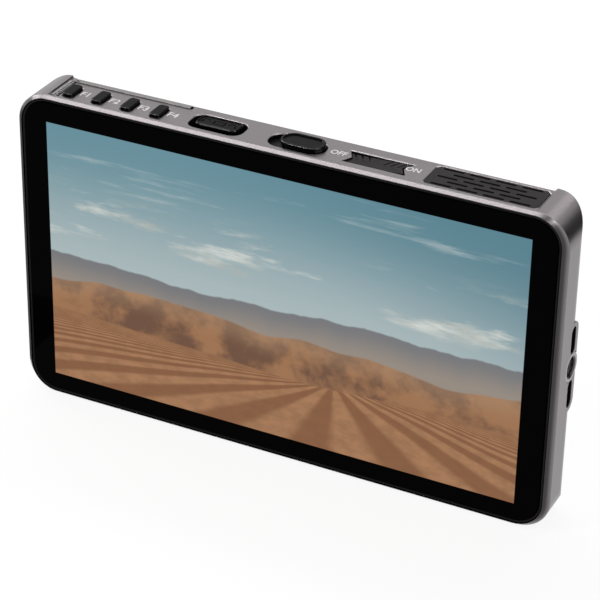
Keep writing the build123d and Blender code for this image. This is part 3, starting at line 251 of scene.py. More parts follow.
def anodised():
    finish = Finish("anodised_housing")
    here = finish.place()
    x, y, z = finish.split(here)
    depth = y - front
    across = finish.node("ShaderNodeMath", dict(operation="ABSOLUTE"), {0: x})
    rim = 1 - finish.over(depth, RIM_RUN)
    cloud = finish.noise(here, CLOUD_PER_MM, detail=3.0)
    grain = finish.noise(here, GRAIN_PER_MM, detail=3.0, rough=0.6)
    rim_grain = finish.noise(here, RIM_GRAIN_PER_MM, detail=4.0, rough=0.75)
    blasted = finish.mix(cloud, paint(111, 106, 108), paint(119, 114, 116))
    blasted = finish.mix(finish.spread(grain), blasted, paint(123, 118, 120))
    # Cut rim: smoother than the blasted faces, and its darker paint is painted shade.
    cut = finish.mix(finish.step(rim_grain, RIM_GRAIN_LOW, RIM_GRAIN_HIGH), paint(76, 73, 74),
                     paint(93, 89, 90))
    # At the rim's two ends: painted shade at its inner edge, rising to a painted highlight at its
    # outer edge.
    rim_painted_light = finish.mix(finish.step(depth, RIM_LIGHT_START, RIM_RUN), paint(68, 65, 66),
                        paint(126, 122, 123))
    cut = finish.mix(finish.step(across, RIM_LIGHT_FROM, RIM_LIGHT_TO), cut, rim_painted_light)

    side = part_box("body_housing")[1].x / MM
    middle = body_middle()
    # Painted shade: key wells, the rail's notch and the mounting slots are painted black and not
    # metallic, for the shade inside them. The wells' part has no lower limit in height, so it
    # also blackens the foot's flat.
    painted_shade = (finish.between(depth, WELLS_FRONT, WELLS_BACK)
               * (1 - finish.over(across, WELLS_REACH))
               * (1 - finish.step(z, WELLS_TOP - PAINT_BLUR, WELLS_TOP)))
    notch = (finish.between(x, NOTCH_LEFT, NOTCH_RIGHT)
             * finish.between(depth, NOTCH_FRONT, NOTCH_BACK)
             * finish.between(z, NOTCH_FOOT, NOTCH_TOP))
    slots = finish.between(depth, SLOTS_FRONT, SLOTS_BACK)
    side_slot_shade = (slots * finish.between(x, side - SLOT_FLOOR, side - SLOT_SKIN)
                  * finish.between(z, middle - SLOT_REACH, middle + SLOT_REACH))
    foot_slot_shade = (slots * finish.between(x, -SLOT_REACH, SLOT_REACH)
                  * finish.between(z, SLOT_SKIN, SLOT_FLOOR))
    for walls in (notch, side_slot_shade, foot_slot_shade):
        painted_shade = finish.larger(painted_shade, walls)
    metal = finish.mix(rim, blasted, cut)
    # Base colour: blasted and cut metal, with black painted shade over wells, notch and slots.
    return finish.surface(
        Base_Color=finish.mix(painted_shade, metal, paint(20, 19, 20)), Metallic=1 - painted_shade,
        Roughness=finish.spread(grain, 0.28, 0.34) * (1 - rim) + rim * RIM_ROUGH,
        Specular_IOR_Level=0.05,
        Normal=finish.bump(grain * (1 - rim) + rim_grain * rim, GRAIN_DEEP,
                           finish.soft_edges(HOUSING_EDGE)),
    )


dress(anodised(), "body_housing")

# ---------------------------------------------------------------- cover glass and picture
# Cover glass, printed black behind its border, with the display bonded to it. The picture is a
# plain landscape of hills and a ploughed field under a hazy sky.
PICTURE_WIDE = 132.5
PICTURE_HIGH = 74.5
PICTURE_BLUR = 0.0006
RIDGE_BLUR = 0.004
FURROWS = 9.0
FURROWS_MEET = 0.62
FURROWS_OVER = 0.03
SMEAR_PER_MM = 0.05


def lit_glass():
    finish = Finish("black_glass")
    x, _, z = finish.split(finish.place())
    middle_z = body_middle()
    across = x / PICTURE_WIDE + 0.5
    up = (z - (middle_z - PICTURE_HIGH / 2)) / PICTURE_HIGH

    def ridge(height, rise, seed, humps, detail):
        """How high a ridge stands, which changes only across the picture."""
        run = finish.noise(finish.join(across, seed, 0.0), humps, detail)
        return (run - 0.5) * rise + height

    def strip(seed, wide, high, detail=5.0, rough=0.6):
        """A noise stretched across the picture."""
        return finish.noise(finish.join(across * wide, up * high, seed), 1.0, detail, rough)

    def behind(edge, far, near):
        """What is far away over a ridge's edge, and what is near under it."""
        return finish.mix(finish.over(up - edge, 0.0, RIDGE_BLUR), near, far)

    sky = finish.mix(finish.step(up, 0.42, 1.0), paint(172, 186, 188), paint(104, 143, 155))
    sky = finish.mix(finish.step(across + up, 1.2, 2.1, end=0.75), sky, paint(84, 124, 138))
    puffs = (finish.step(strip(3.0, wide=4.0, high=11.0), 0.52, 0.68)
             * finish.step(up, 0.52, 0.6) * (1 - finish.step(up, 0.7, 0.82)))
    wisps = (finish.step(strip(8.0, wide=2.2, high=16.0, detail=6.0, rough=0.65), 0.56, 0.74)
             * finish.step(up, 0.7, 0.8))
    cloud = finish.mix(finish.step(strip(4.0, wide=7.0, high=14.0), 0.35, 0.65),
                       paint(168, 176, 172), paint(216, 219, 212))
    sky = finish.mix(puffs * 0.9, sky, cloud)
    sky = finish.mix(wisps * 0.5, sky, paint(196, 206, 206))

    far_ridge = ridge(height=0.5, rise=0.2, seed=11.0, humps=2.6, detail=6.0)
    far_hills = finish.mix(finish.step(up - far_ridge, -0.12, 0.0), paint(150, 140, 130),
                           paint(120, 121, 124))
    mid_ridge = ridge(height=0.4, rise=0.32, seed=23.0, humps=1.7, detail=3.0)
    hills = finish.mix(finish.step(strip(5.0, wide=9.0, high=5.0, detail=4.0), 0.4, 0.6),
                       paint(112, 83, 67), paint(158, 116, 84))
    hills = finish.mix(finish.step(up - mid_ridge, -0.1, 0.0, end=0.35), hills,
                       paint(176, 146, 118))
    near_ridge = ridge(height=0.27, rise=0.18, seed=37.0, humps=1.1, detail=2.0)
    furrow = finish.node("ShaderNodeMath", dict(operation="SINE"), {
        0: (across - FURROWS_MEET) / (near_ridge - up + FURROWS_OVER) * FURROWS})
    field = finish.mix(finish.step(furrow, -0.6, 0.6), paint(138, 97, 70), paint(168, 125, 92))
    field = finish.mix(finish.spread(strip(9.0, wide=30.0, high=30.0), end=0.4), field,
                       paint(120, 86, 64))
    view = behind(far_ridge, sky, far_hills)
    view = behind(mid_ridge, view, hills)
    view = behind(near_ridge, view, field)

    shown = (finish.between(across, 0.0, 1.0, PICTURE_BLUR)
             * finish.between(up, 0.0, 1.0, PICTURE_BLUR))
    smear = finish.noise(finish.place(), SMEAR_PER_MM, detail=3.0)
    return finish.surface(
        Base_Color=(0.0005, 0.0005, 0.0006, 1.0), Specular_IOR_Level=0.012,
        Roughness=finish.spread(smear, 0.05, 0.09),
        Emission_Color=finish.mix(shown, (0.0, 0.0, 0.0, 1.0), view), Emission_Strength=1.0,
    )


dress(lit_glass(), "front_glass")

# ---------------------------------------------------------------- bonding ring
# Black rubber bead that beds the glass in its pocket. It swells a little between the glass and
# the metal, so it shows as a soft lip round the picture.
BEAD_WIDE = 1.0
BEAD_SWELL = 0.3
BEAD_FULL = 1.6
BEAD_EDGE = 0.42
POCKET_CORNER = 7.6
CORNER_STEPS = 14
BEAD_STEPS = 8


def ring_mesh(name, rings, closed=False):
    """Skin over rings of equally many points; the first and last are capped unless closed."""
    count = len(rings[0])
    points = [point for ring in rings for point in ring]
    faces = []
    pairs = len(rings) if closed else len(rings) - 1
    for ring in range(pairs):
        near, far = ring * count, (ring + 1) % len(rings) * count
        faces += [(near + side, near + (side + 1) % count, far + (side + 1) % count, far + side)
                  for side in range(count)]
    if not closed:
        faces += [tuple(range(count))[::-1], tuple(range(len(points) - count, len(points)))]
    mesh = bpy.data.meshes.new(name)
    mesh.from_pydata([Vector(point) * MM for point in points], [], faces)
    mesh.update()
    return mesh


def set_down(name, mesh, material, smooth=True):
    """Put a finished mesh in the scene, on the housing's body."""
    solid = bmesh.new()
    solid.from_mesh(mesh)
    bmesh.ops.recalc_face_normals(solid, faces=solid.faces)
    solid.to_mesh(mesh)
    solid.free()
    mesh.materials.append(material)
    mesh.polygons.foreach_set("use_smooth", [smooth] * len(mesh.polygons))
    piece = bpy.data.objects.new(name, mesh)
    bpy.context.scene.collection.objects.link(piece)
    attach(piece, "body")
    return piece


def rounded_frame(wide, high, corner, depth, middle_z, shrink):
    """Points round a rounded rectangle at a depth, drawn in by shrink."""
    half_wide, half_high, radius = wide / 2 - shrink, high / 2 - shrink, corner - shrink
    points = []
    for side_x, side_z, start in ((1, 1, 0), (-1, 1, 90), (-1, -1, 180), (1, -1, 270)):
        for turn in range(CORNER_STEPS + 1):
            angle = math.radians(start + 90 * turn / CORNER_STEPS)
            points.append((side_x * (half_wide - radius) + radius * math.cos(angle),
                           front + depth,
                           middle_z + side_z * (half_high - radius) + radius * math.sin(angle)))
    return points


def bead_rubber():
    finish = Finish("black_rubber")
    mottle = finish.noise(finish.place(), per_unit=3.0, detail=3.0)
    return finish.surface(
        Base_Color=finish.mix(mottle, paint(12, 11, 12), paint(18, 17, 18)),
        Roughness=finish.spread(mottle, 0.26, 0.36), Specular_IOR_Level=0.1,
        Normal=finish.bump(mottle, deep_mm=0.01),
    )


bead_low, bead_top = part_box("glass_gasket")
bead_wide = (bead_top.x - bead_low.x) / MM
bead_high = (bead_top.z - bead_low.z) / MM
bead_middle = (bead_top.z + bead_low.z) / 2 / MM
bead_rings = []
for step in range(BEAD_STEPS + 1):
    share = step / BEAD_STEPS
    swell = BEAD_EDGE - BEAD_SWELL * math.sin(math.pi * share) ** BEAD_FULL
    bead_rings.append(rounded_frame(bead_wide, bead_high, POCKET_CORNER, swell, bead_middle,
                                    BEAD_WIDE * share))
bead_foot = bead_top.y / MM - front
for shrink in (BEAD_WIDE, 0.0):
    bead_rings.append(rounded_frame(bead_wide, bead_high, POCKET_CORNER, bead_foot, bead_middle,
                                    shrink))
# The bead's black rubber also serves as painted shade on the end wall and in the eyelet's hole.
black_rubber = bead_rubber()
bead = set_down("bonding_bead", ring_mesh("bonding_bead", bead_rings, closed=True),
                black_rubber)
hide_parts("glass_gasket")

# ---------------------------------------------------------------- keys
# Black moulded caps: satin plastic with a fine spark-eroded skin, polished by fingers where a
# rounded edge turns forward. The function buttons have the softest crowns, and the rocker is
# moulded in a greyer plastic.
SKIN_GRAIN = 0.22
SKIN_DEEP = 0.004
DUST_PER_MM = 0.6
DUST_LOW = 0.4
DUST_HIGH = 0.8
POLISH_COMES = (0.3, 0.45)
POLISH_GOES = (0.72, 0.85)
EDGE_ROUND = 0.28
CROWN_ROUND = 0.5


def key_plastic(name, dark, light, shine=1.0, edge_mm=EDGE_ROUND):
    finish = Finish(name)
    here = finish.place()
    skin = finish.noise(here, 1 / SKIN_GRAIN)
    dust = finish.noise(here, DUST_PER_MM, detail=4.0, rough=0.65)
    rounded = finish.soft_edges(edge_mm)
    _, back, _ = finish.split(rounded)
    ahead = back * -1.0
    polish = finish.step(ahead, *POLISH_COMES) * (1 - finish.step(ahead, *POLISH_GOES))
    return finish.surface(
        Base_Color=finish.mix(finish.step(dust, DUST_LOW, DUST_HIGH), dark, light),
        Roughness=finish.spread(skin, 0.16, 0.24), Specular_IOR_Level=0.04,
        Coat_Weight=polish * shine, Coat_Roughness=0.12,
        Normal=finish.bump(skin, SKIN_DEEP, rounded),
    )


dress(key_plastic("key_plastic", paint(7, 6, 7), paint(14, 13, 14), shine=0.7,
                  edge_mm=CROWN_ROUND), "button_f1", "button_f2", "button_f3", "button_f4")
dress(key_plastic("slider_plastic", paint(9, 8, 9), paint(17, 16, 17)), "lock_slider",
      "battery_latch")
dress(key_plastic("menu_plastic", paint(5, 4, 5), paint(12, 11, 12), shine=0.3), "menu_key")
dress(key_plastic("rocker_plastic", paint(34, 30, 31), paint(42, 38, 39)), "power_rocker")

# ---------------------------------------------------------------- labels
# Pale grey letters, pad-printed on the key field beside what they name: F1 to F4 at the right
# of each function button, OFF and ON at the two ends of the power rocker.
LABEL_BOLD = 0.045
LABEL_SKIN = 0.01
CAPITAL = 0.73
GRILLE_SUNK = 0.1
F_GAP = 0.1
F_DEPTH = 6.7
F_HIGH = 2.45
F_CONDENSED = 0.92
OFF_REACH = 4.5
OFF_DEPTH = 7.5
ON_OVERLAP = 0.8
ON_DEPTH = 7.8
SWITCH_HIGH = 2.15
SWITCH_CONDENSED = 0.85


def print_grey():
    finish = Finish("print_grey")
    wear = finish.noise(finish.place(), per_unit=5.0, detail=3.0)
    return finish.surface(
        Base_Color=finish.mix(finish.spread(wear), paint(182, 178, 179), paint(194, 191, 190)),
        Roughness=finish.spread(wear, 0.5, 0.65),
    )


label_ink = print_grey()
field_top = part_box("speaker_grille")[1].z / MM + GRILLE_SUNK


def label(name, words, left, depth, high, condensed):
    """Words printed on the key field, with their lower left corner at left and depth."""
    text = bpy.data.curves.new(name, "FONT")
    text.body = words
    text.size = high / CAPITAL * MM
    text.offset = LABEL_BOLD * MM
    text.extrude = LABEL_SKIN * MM
    lettering = bpy.data.objects.new(name + "_outline", text)
    mesh = bpy.data.meshes.new_from_object(lettering)
    bpy.data.objects.remove(lettering)
    mesh.transform(Matrix.Diagonal((condensed, 1, 1, 1)))
    mesh.transform(Matrix.Translation((left * MM, (front + depth) * MM,
                                       (field_top + LABEL_SKIN) * MM)))
    set_down(name, mesh, label_ink, smooth=False)


for number in range(1, 5):
    label(f"label_f{number}", f"F{number}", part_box(f"button_f{number}")[1].x / MM + F_GAP,
          F_DEPTH, F_HIGH, F_CONDENSED)
label("label_off", "OFF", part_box("power_rocker")[0].x / MM - OFF_REACH, OFF_DEPTH, SWITCH_HIGH,
      SWITCH_CONDENSED)
label("label_on", "ON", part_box("power_rocker")[1].x / MM - ON_OVERLAP, ON_DEPTH, SWITCH_HIGH,
      SWITCH_CONDENSED)

# ---------------------------------------------------------------- grille
# Stamped steel plate with rows of slots, painted satin black. It is glued into a recess of
# the key field, over the speaker.


def painted_grille():
    finish = Finish("grille_metal")
    here = finish.place()
    peel = finish.noise(here, per_unit=2.5)
    dust = finish.noise(here, per_unit=0.5, detail=4.0)
    return finish.surface(
        Base_Color=finish.mix(dust, paint(30, 28, 29), paint(40, 37, 38)),
        Roughness=finish.spread(peel, 0.42, 0.55), Specular_IOR_Level=0.06,
        Normal=finish.bump(peel, deep_mm=0.008, under=finish.soft_edges(radius_mm=0.1)),
    )


dress(painted_grille(), "speaker_grille")

# ---------------------------------------------------------------- hood rail
# Thin strip of aluminium, anodised a little paler than the housing and pressed into a groove
# along the back of the key field.


def rail_metal():
    finish = Finish("rail_metal")
    grain = finish.noise(finish.place(), GRAIN_PER_MM, detail=3.0, rough=0.6)
    return finish.surface(
        Base_Color=finish.mix(grain, paint(118, 115, 115), paint(132, 129, 129)), Metallic=1.0,
        Roughness=finish.spread(grain, 0.28, 0.36),
        Normal=finish.bump(grain, deep_mm=0.01, under=finish.soft_edges(radius_mm=0.1)),
    )


rail_finish = rail_metal()
dress(rail_finish, "hood_rail")

# ---------------------------------------------------------------- ribbed strip
# At the left end of the key field a metal strip with slanting ribs lies along the foot of the
# end wall, under a thin black band of painted shade on the wall. The strip is paler along its
# crest and dark below it. Its tail runs on beside the end of the rail, and a small eyelet is
# pressed into that end; the eyelet's hole is floored in black as painted shade.
WALL_TOP = (-66.95, 88.1)
WALL_FOOT = (-66.5, 87.3)
# Shares of the end wall covered by the black band of painted shade.
LINE_FROM = 0.14
LINE_TO = 0.42
LINE_THICK = 0.03
LINE_FRONT = 4.2
LINE_BACK = 14.4
STRIP_FRONT = 3.2
STRIP_BACK = 12.6
STRIP_LEFT = (-66.44, 87.72)
STRIP_RIDGE = (-66.22, 87.74)
STRIP_RIGHT = (-64.86, 87.4)
STRIP_FLOOR = 87.06
# Heights over which the strip turns from dark to pale along its crest.
PALE_FROM = 87.62
PALE_TO = 87.72
TAIL_RIGHT = (-65.56, 87.53)
TAIL_LEFT = (-66.44, 87.53)
TAIL_BACK = 14.6
RIB_PITCH = 0.7
RIB_WIDE = 0.36
RIB_FROM = 0.14
RIB_TO = 0.86
RIB_PROUD = 0.1
RIB_ROOT = 0.03
RIB_TAPER = 0.06
RIB_SLANT = 0.25
RIB_MARGIN = 0.1
EYELET_PLACE = (-64.7, 13.4)
EYELET_RADIUS = 0.55
EYELET_PROUD = 0.12
EYELET_HOLE = 0.26
EYELET_ROOT = 0.02
EYELET_BREAK = 0.1
EYELET_PLUG = 0.01
EYELET_SIDES = 24


def bar(section, depths):
    """Rings of one outline, given as x and z, at several depths."""
    return [[(x, front + depth, z) for x, z in section] for depth in depths]


def on_wall(share, proud=0.0):
    """Point on the end wall, as x and z, a share of the way down it."""
    run, drop = WALL_FOOT[0] - WALL_TOP[0], WALL_TOP[1] - WALL_FOOT[1]
    length = math.hypot(run, drop)
    return (WALL_TOP[0] + share * run + proud * drop / length,
            WALL_TOP[1] - share * drop + proud * run / length)


def on_strip(share):
    """Point on the strip's face, as x and z, a share of the way down from its ridge."""
    return (STRIP_RIDGE[0] + share * (STRIP_RIGHT[0] - STRIP_RIDGE[0]),
            STRIP_RIDGE[1] + share * (STRIP_RIGHT[1] - STRIP_RIDGE[1]))


def rib(depth):
    """One slanting rib across the strip, as rings from its left end to its right end."""
    rings = []
    for share in (RIB_FROM, (RIB_FROM + RIB_TO) / 2, RIB_TO):
        x, z = on_strip(share)
        y = front + depth - RIB_SLANT * share
        rings.append([(x, y, z - RIB_ROOT), (x, y + RIB_WIDE, z - RIB_ROOT),
                      (x, y + RIB_WIDE - RIB_TAPER, z + RIB_PROUD),
                      (x, y + RIB_TAPER, z + RIB_PROUD)])
    return rings


def strip_metal():
    finish = Finish("strip_metal")
    _, _, z = finish.split(finish.place())
    grain = finish.noise(finish.place(), GRAIN_PER_MM, detail=3.0, rough=0.6)
    # The strip is pale along its crest, from PALE_FROM to PALE_TO in height up, and dark below
    # it.
    pale_crest = finish.mix(grain, paint(132, 129, 130), paint(150, 147, 148))
    return finish.surface(
        Base_Color=finish.mix(finish.step(z, PALE_FROM, PALE_TO), paint(50, 48, 49), pale_crest),
        Metallic=1.0, Roughness=finish.spread(grain, 0.3, 0.4),
        Normal=finish.bump(grain, deep_mm=0.01, under=finish.soft_edges(radius_mm=0.05)),
    )


# Painted shade: a thin black band laid on the end wall where it drops to the strip.
shade_line_section = [on_wall(LINE_FROM), on_wall(LINE_TO), on_wall(LINE_TO, LINE_THICK),
                on_wall(LINE_FROM, LINE_THICK)]
set_down("wall_shade_line", ring_mesh("wall_shade_line", bar(shade_line_section, (LINE_FRONT, LINE_BACK))),
         black_rubber, smooth=False)
strip_section = [STRIP_LEFT, (STRIP_LEFT[0], STRIP_FLOOR), (STRIP_RIGHT[0], STRIP_FLOOR),
                 STRIP_RIGHT, STRIP_RIDGE]
strip_finish = strip_metal()
set_down("strip_body", ring_mesh("strip_body", bar(strip_section, (STRIP_FRONT, STRIP_BACK))),
         strip_finish, smooth=False)
tail_section = [TAIL_LEFT, (TAIL_LEFT[0], STRIP_FLOOR), (TAIL_RIGHT[0], STRIP_FLOOR),
                TAIL_RIGHT]
set_down("strip_tail", ring_mesh("strip_tail", bar(tail_section, (STRIP_BACK, TAIL_BACK))),
         rail_finish, smooth=False)
rib_at = STRIP_FRONT + RIB_SLANT + RIB_MARGIN
ribs = bmesh.new()
while rib_at + RIB_WIDE < STRIP_BACK:
    one = ring_mesh("rib", rib(rib_at))
    ribs.from_mesh(one)
    bpy.data.meshes.remove(one)
    rib_at += RIB_PITCH
rib_mesh = bpy.data.meshes.new("strip_ribs")
ribs.to_mesh(rib_mesh)
ribs.free()
set_down("strip_ribs", rib_mesh, rail_finish, smooth=False)


def disc_ring(x, depth, z, radius):
    turns = [2 * math.pi * side / EYELET_SIDES for side in range(EYELET_SIDES)]
    return [(x + radius * math.cos(turn), front + depth + radius * math.sin(turn), z)
            for turn in turns]


rail_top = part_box("hood_rail")[1].z / MM
eyelet_rings = [disc_ring(*EYELET_PLACE, rail_top + lift, radius) for lift, radius in (
    (-EYELET_ROOT, EYELET_RADIUS), (EYELET_PROUD / 2, EYELET_RADIUS),
    (EYELET_PROUD, EYELET_RADIUS - EYELET_BREAK), (EYELET_PROUD, EYELET_HOLE),
    (EYELET_PLUG, EYELET_HOLE))]
eyelet = set_down("rail_eyelet", ring_mesh("rail_eyelet", eyelet_rings), strip_finish)
# Painted shade: the eyelet's shallow hole is floored in black.
eyelet.data.materials.append(black_rubber)
eyelet.data.polygons[-1].material_index = 1

# ---------------------------------------------------------------- bare and plated metal
# Drawn socket shells, turned screws and pin, spring contacts, and the stamped chassis with its
# heat sink. Plated or left bare, they all keep fine tool marks.
MARKS_PER_MM = 3.0
MARKS_DEEP = 0.006


def tooled_metal(name, dark, light, smoothest, roughest):
    finish = Finish(name)
    marks = finish.noise(finish.place(), MARKS_PER_MM, detail=4.0, rough=0.7)
    return finish.surface(
        Base_Color=finish.mix(marks, dark, light), Metallic=1.0,
        Roughness=finish.spread(marks, smoothest, roughest),
        Normal=finish.bump(marks, MARKS_DEEP, finish.soft_edges(radius_mm=0.06)),
    )


dress(tooled_metal("bright_steel", paint(168, 166, 164), paint(196, 194, 192), 0.24, 0.38),
      "hdmi_in_port", "hdmi_out_port", "usb_port", "board_screws", "key_board_screws",
      "rocker_pin")
dress(tooled_metal("black_steel", paint(44, 44, 46), paint(66, 66, 68), 0.34, 0.48),
      "cover_screws", "bay_screws", "chassis_screws")
dress(tooled_metal("contact_brass", paint(206, 172, 104), paint(224, 192, 128), 0.22, 0.36),
      "battery_contacts")
dress(tooled_metal("bare_aluminium", paint(180, 180, 182), paint(206, 206, 208), 0.32, 0.46),
      "chassis_plate", "heat_sink")

# ---------------------------------------------------------------- thread inserts
# Turned steel inserts with a flange, pressed into the side and the foot of the housing. A
# quarter-inch thread with 20 turns to the inch is cut in each blind bore, whose steel is painted
# darker as painted shade.
THREAD_PITCH = 1.27
THREAD_CREST = 2.6
THREAD_ROOT = 3.1
THREAD_MOUTH = 0.42
THREAD_LIP = 0.03
THREAD_STEEP = 1.3
THREAD_LAND = 0.15
THREAD_FADE = 0.4
THREAD_SPARE = 0.1
THREAD_SIDES = 56
THREAD_CUTS = 12
FLANGE_THICK = 1.8
BARREL_RADIUS = 3.5
FLANGE_BREAK = 0.18
BORE_FLOOR = 0.6
# Radius inside which the bore's steel is painted darker, as painted shade.
BORE_DARK = 3.2
BORE_FADE = 0.1
DRILL_TIP = 0.05
DRILL_POINT = 0.3


def turned_ring(radius, drop):
    """Ring of an insert seen from its mouth: radius may change with the turn."""
    ring = []
    for side in range(THREAD_SIDES):
        angle = 2 * math.pi * side / THREAD_SIDES
        reach = radius(side / THREAD_SIDES) if callable(radius) else radius
        ring.append((reach * math.cos(angle), reach * math.sin(angle), -drop))
    return ring


def thread_radius(drop):
    """Radius of the thread at a depth under the mouth, as the turn goes round."""
    def at(share):
        phase = (drop / THREAD_PITCH - share) % 1.0
        flank = 1 - abs(2 * phase - 1)
        cut = min(1.0, max(0.0, flank * THREAD_STEEP - THREAD_LAND))
        fade = min(1.0, max(0.0, (drop - THREAD_MOUTH) / THREAD_FADE))
        return THREAD_CREST + (THREAD_ROOT - THREAD_CREST) * cut * fade
    return at


def insert_mesh(name, flange_radius, long):
    floor_at = long - BORE_FLOOR
    cuts = int((floor_at - THREAD_MOUTH - THREAD_SPARE) / THREAD_PITCH * THREAD_CUTS)
    drops = [THREAD_MOUTH + step * THREAD_PITCH / THREAD_CUTS for step in range(cuts)]
    rings = [turned_ring(BARREL_RADIUS, long), turned_ring(BARREL_RADIUS, FLANGE_THICK),
             turned_ring(flange_radius, FLANGE_THICK), turned_ring(flange_radius, FLANGE_BREAK),
             turned_ring(flange_radius - FLANGE_BREAK, 0.0),
             turned_ring(THREAD_CREST + THREAD_MOUTH, 0.0),
             turned_ring(THREAD_CREST, THREAD_MOUTH - THREAD_LIP)]
    rings += [turned_ring(thread_radius(drop), drop) for drop in drops]
    rings += [turned_ring(THREAD_CREST, floor_at),
              turned_ring(DRILL_TIP, floor_at + DRILL_POINT)]
    return ring_mesh(name, rings)


def insert_steel():
    finish = Finish("thread_steel")
    here = finish.place()
    x, y, z = finish.split(here)
    side_low, side_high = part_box("side_thread_insert")
    foot_low, foot_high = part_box("foot_thread_insert")

    def off_axis(first, second):
        return (first * first + second * second) ** 0.5

    side_out = off_axis(y - (side_low.y + side_high.y) / 2 / MM,
                        z - (side_low.z + side_high.z) / 2 / MM)
    foot_out = off_axis(x - (foot_low.x + foot_high.x) / 2 / MM,
                        y - (foot_low.y + foot_high.y) / 2 / MM)
    # Painted shade: inside each bore the steel is painted darker than the face.
    side_bore_shade = ((1 - finish.over(side_out, BORE_DARK))
                 * finish.step(side_high.x / MM - x, 0.0, BORE_FADE))
    foot_bore_shade = (1 - finish.over(foot_out, BORE_DARK)) * finish.step(z, 0.0, BORE_FADE)
    marks = finish.noise(here, MARKS_PER_MM, detail=4.0, rough=0.7)
    face = finish.mix(marks, paint(144, 140, 141), paint(162, 158, 159))
    return finish.surface(
        Base_Color=finish.mix(finish.larger(side_bore_shade, foot_bore_shade), face, paint(84, 82, 82)),
        Metallic=1.0, Roughness=finish.spread(marks, 0.28, 0.4),
        Normal=finish.bump(marks, MARKS_DEEP),
    )


thread_finish = insert_steel()
for node, facing in (("side_thread_insert", "X"), ("foot_thread_insert", "Z")):
    low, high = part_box(node)
    middle_of = (low + high) / 2 / MM
    if facing == "X":
        long, wide = (high.x - low.x) / MM, (high.z - low.z) / MM
        stand = Matrix.Translation((high.x, middle_of.y * MM, middle_of.z * MM))
        turn = Matrix.Rotation(math.radians(90), 4, "Y")
    else:
        long, wide = (high.z - low.z) / MM, (high.x - low.x) / MM
        stand = Matrix.Translation((middle_of.x * MM, middle_of.y * MM, low.z))
        turn = Matrix.Rotation(math.radians(180), 4, "X")
    name = node.replace("insert", "turned")
    mesh = insert_mesh(name, wide / 2, long)
    mesh.transform(stand @ turn)
    piece = set_down(name, mesh, thread_finish, smooth=False)
    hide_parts(node)

# ---------------------------------------------------------------- rear cover and black mouldings
# Black glass-filled plastic with the matt, pebbled skin of an eroded mould: the screwed-on
# cover and its battery plate, the port panel, and the bodies of sockets, switches and fan.
PATCH_PER_MM = 0.08


def moulded(name, dark, light, pebble_mm, deep_mm=0.02):
    finish = Finish(name)
    here = finish.place()
    pebble = finish.noise(here, 1 / pebble_mm)
    patch = finish.noise(here, PATCH_PER_MM, detail=4.0)
    return finish.surface(
        Base_Color=finish.mix(patch, dark, light),
        Roughness=finish.spread(pebble, 0.5, 0.68),
        Normal=finish.bump(pebble, deep_mm, finish.soft_edges(radius_mm=0.15)),
    )


dress(moulded("cover_plastic", paint(46, 46, 48), paint(56, 56, 58), 0.3),
      "rear_cover", "battery_plate")
dress(moulded("panel_plastic", paint(38, 38, 40), paint(46, 46, 48), 0.25), "port_panel")
dress(moulded("socket_plastic", paint(28, 28, 29), paint(36, 36, 37), 0.3, 0.01),
      "power_jack", "headphone_jack", "key_switches", "lock_switch", "rocker_switch", "speaker")
dress(moulded("fan_plastic", paint(30, 30, 32), paint(40, 40, 42), 0.4, 0.01),
      "fan_housing", "fan_rotor")

# ---------------------------------------------------------------- boards, display and ribbon
# Glass-fibre boards under green solder mask with copper runs, the display's layers, and the
# amber film of the ribbon.
RUNS_PER_MM = 0.45
RUNS_IN_CELL = 4.0
RUNS_FROM = 0.42
RUNS_TO = 0.5


def circuit_board():
    finish = Finish("circuit_board")
    here = finish.place()
    x, _, z = finish.split(here)
    cells = finish.node("ShaderNodeTexVoronoi", dict(distance="MANHATTAN", feature="F1"),
                        {"Vector": finish.join(x, 0.0, z), "Scale": RUNS_PER_MM,
                         "Randomness": 0.8})
    runs = finish.step((cells * RUNS_IN_CELL) % 1.0, RUNS_FROM, RUNS_TO)
    return finish.surface(
        Base_Color=finish.mix(runs, paint(18, 66, 44), paint(34, 92, 60)),
        Roughness=finish.step(runs, 0.0, 1.0, 0.32, 0.42),
        Normal=finish.bump(runs, deep_mm=0.02),
    )


def display_layer(name, dark, light):
    finish = Finish(name)
    sheen = finish.noise(finish.place(), per_unit=0.2, detail=3.0)
    return finish.surface(Base_Color=finish.mix(sheen, dark, light),
                          Roughness=finish.spread(sheen, 0.25, 0.4))


dress(circuit_board(), "main_board", "key_board")
dress(display_layer("panel_glass", paint(50, 53, 56), paint(60, 63, 66)), "display_panel")
dress(display_layer("white_diffuser", paint(214, 214, 210), paint(228, 228, 224)),
      "backlight_unit")
dress(display_layer("amber_film", paint(176, 108, 36), paint(196, 126, 48)), "display_ribbon")

# ---------------------------------------------------------------- floor and backdrop
# A plain pale floor that runs out of sight. Seen straight, in metal or through glass it is
# white, and only a faint shadow is left on it.
FLOOR_SIDE = 6.0
FLOOR_WHITE = 0.9
ROOM_LIGHT = 0.42


def pale_floor():
    finish = Finish("pale_floor")
    tree = finish.tree
    finish.surface(Base_Color=(0.85, 0.85, 0.85, 1.0), Roughness=0.8, Specular_IOR_Level=0.2)
    glow = tree.nodes.new("ShaderNodeEmission")
    path = tree.nodes.new("ShaderNodeLightPath")
    seen, glossy, through = (Wire(finish, path.outputs[name]) for name in (
        "Is Camera Ray", "Is Glossy Ray", "Is Transmission Ray"))
    share = finish.node("ShaderNodeMath", dict(operation="MINIMUM"),
                        {0: seen + glossy + through, 1: 1.0})
    blend = tree.nodes.new("ShaderNodeMixShader")
    finish.plug(blend.inputs[0], share * FLOOR_WHITE)
    tree.links.new(finish.shader.outputs[0], blend.inputs[1])
    tree.links.new(glow.outputs[0], blend.inputs[2])
    tree.links.new(blend.outputs[0], finish.ending)
    return finish.material


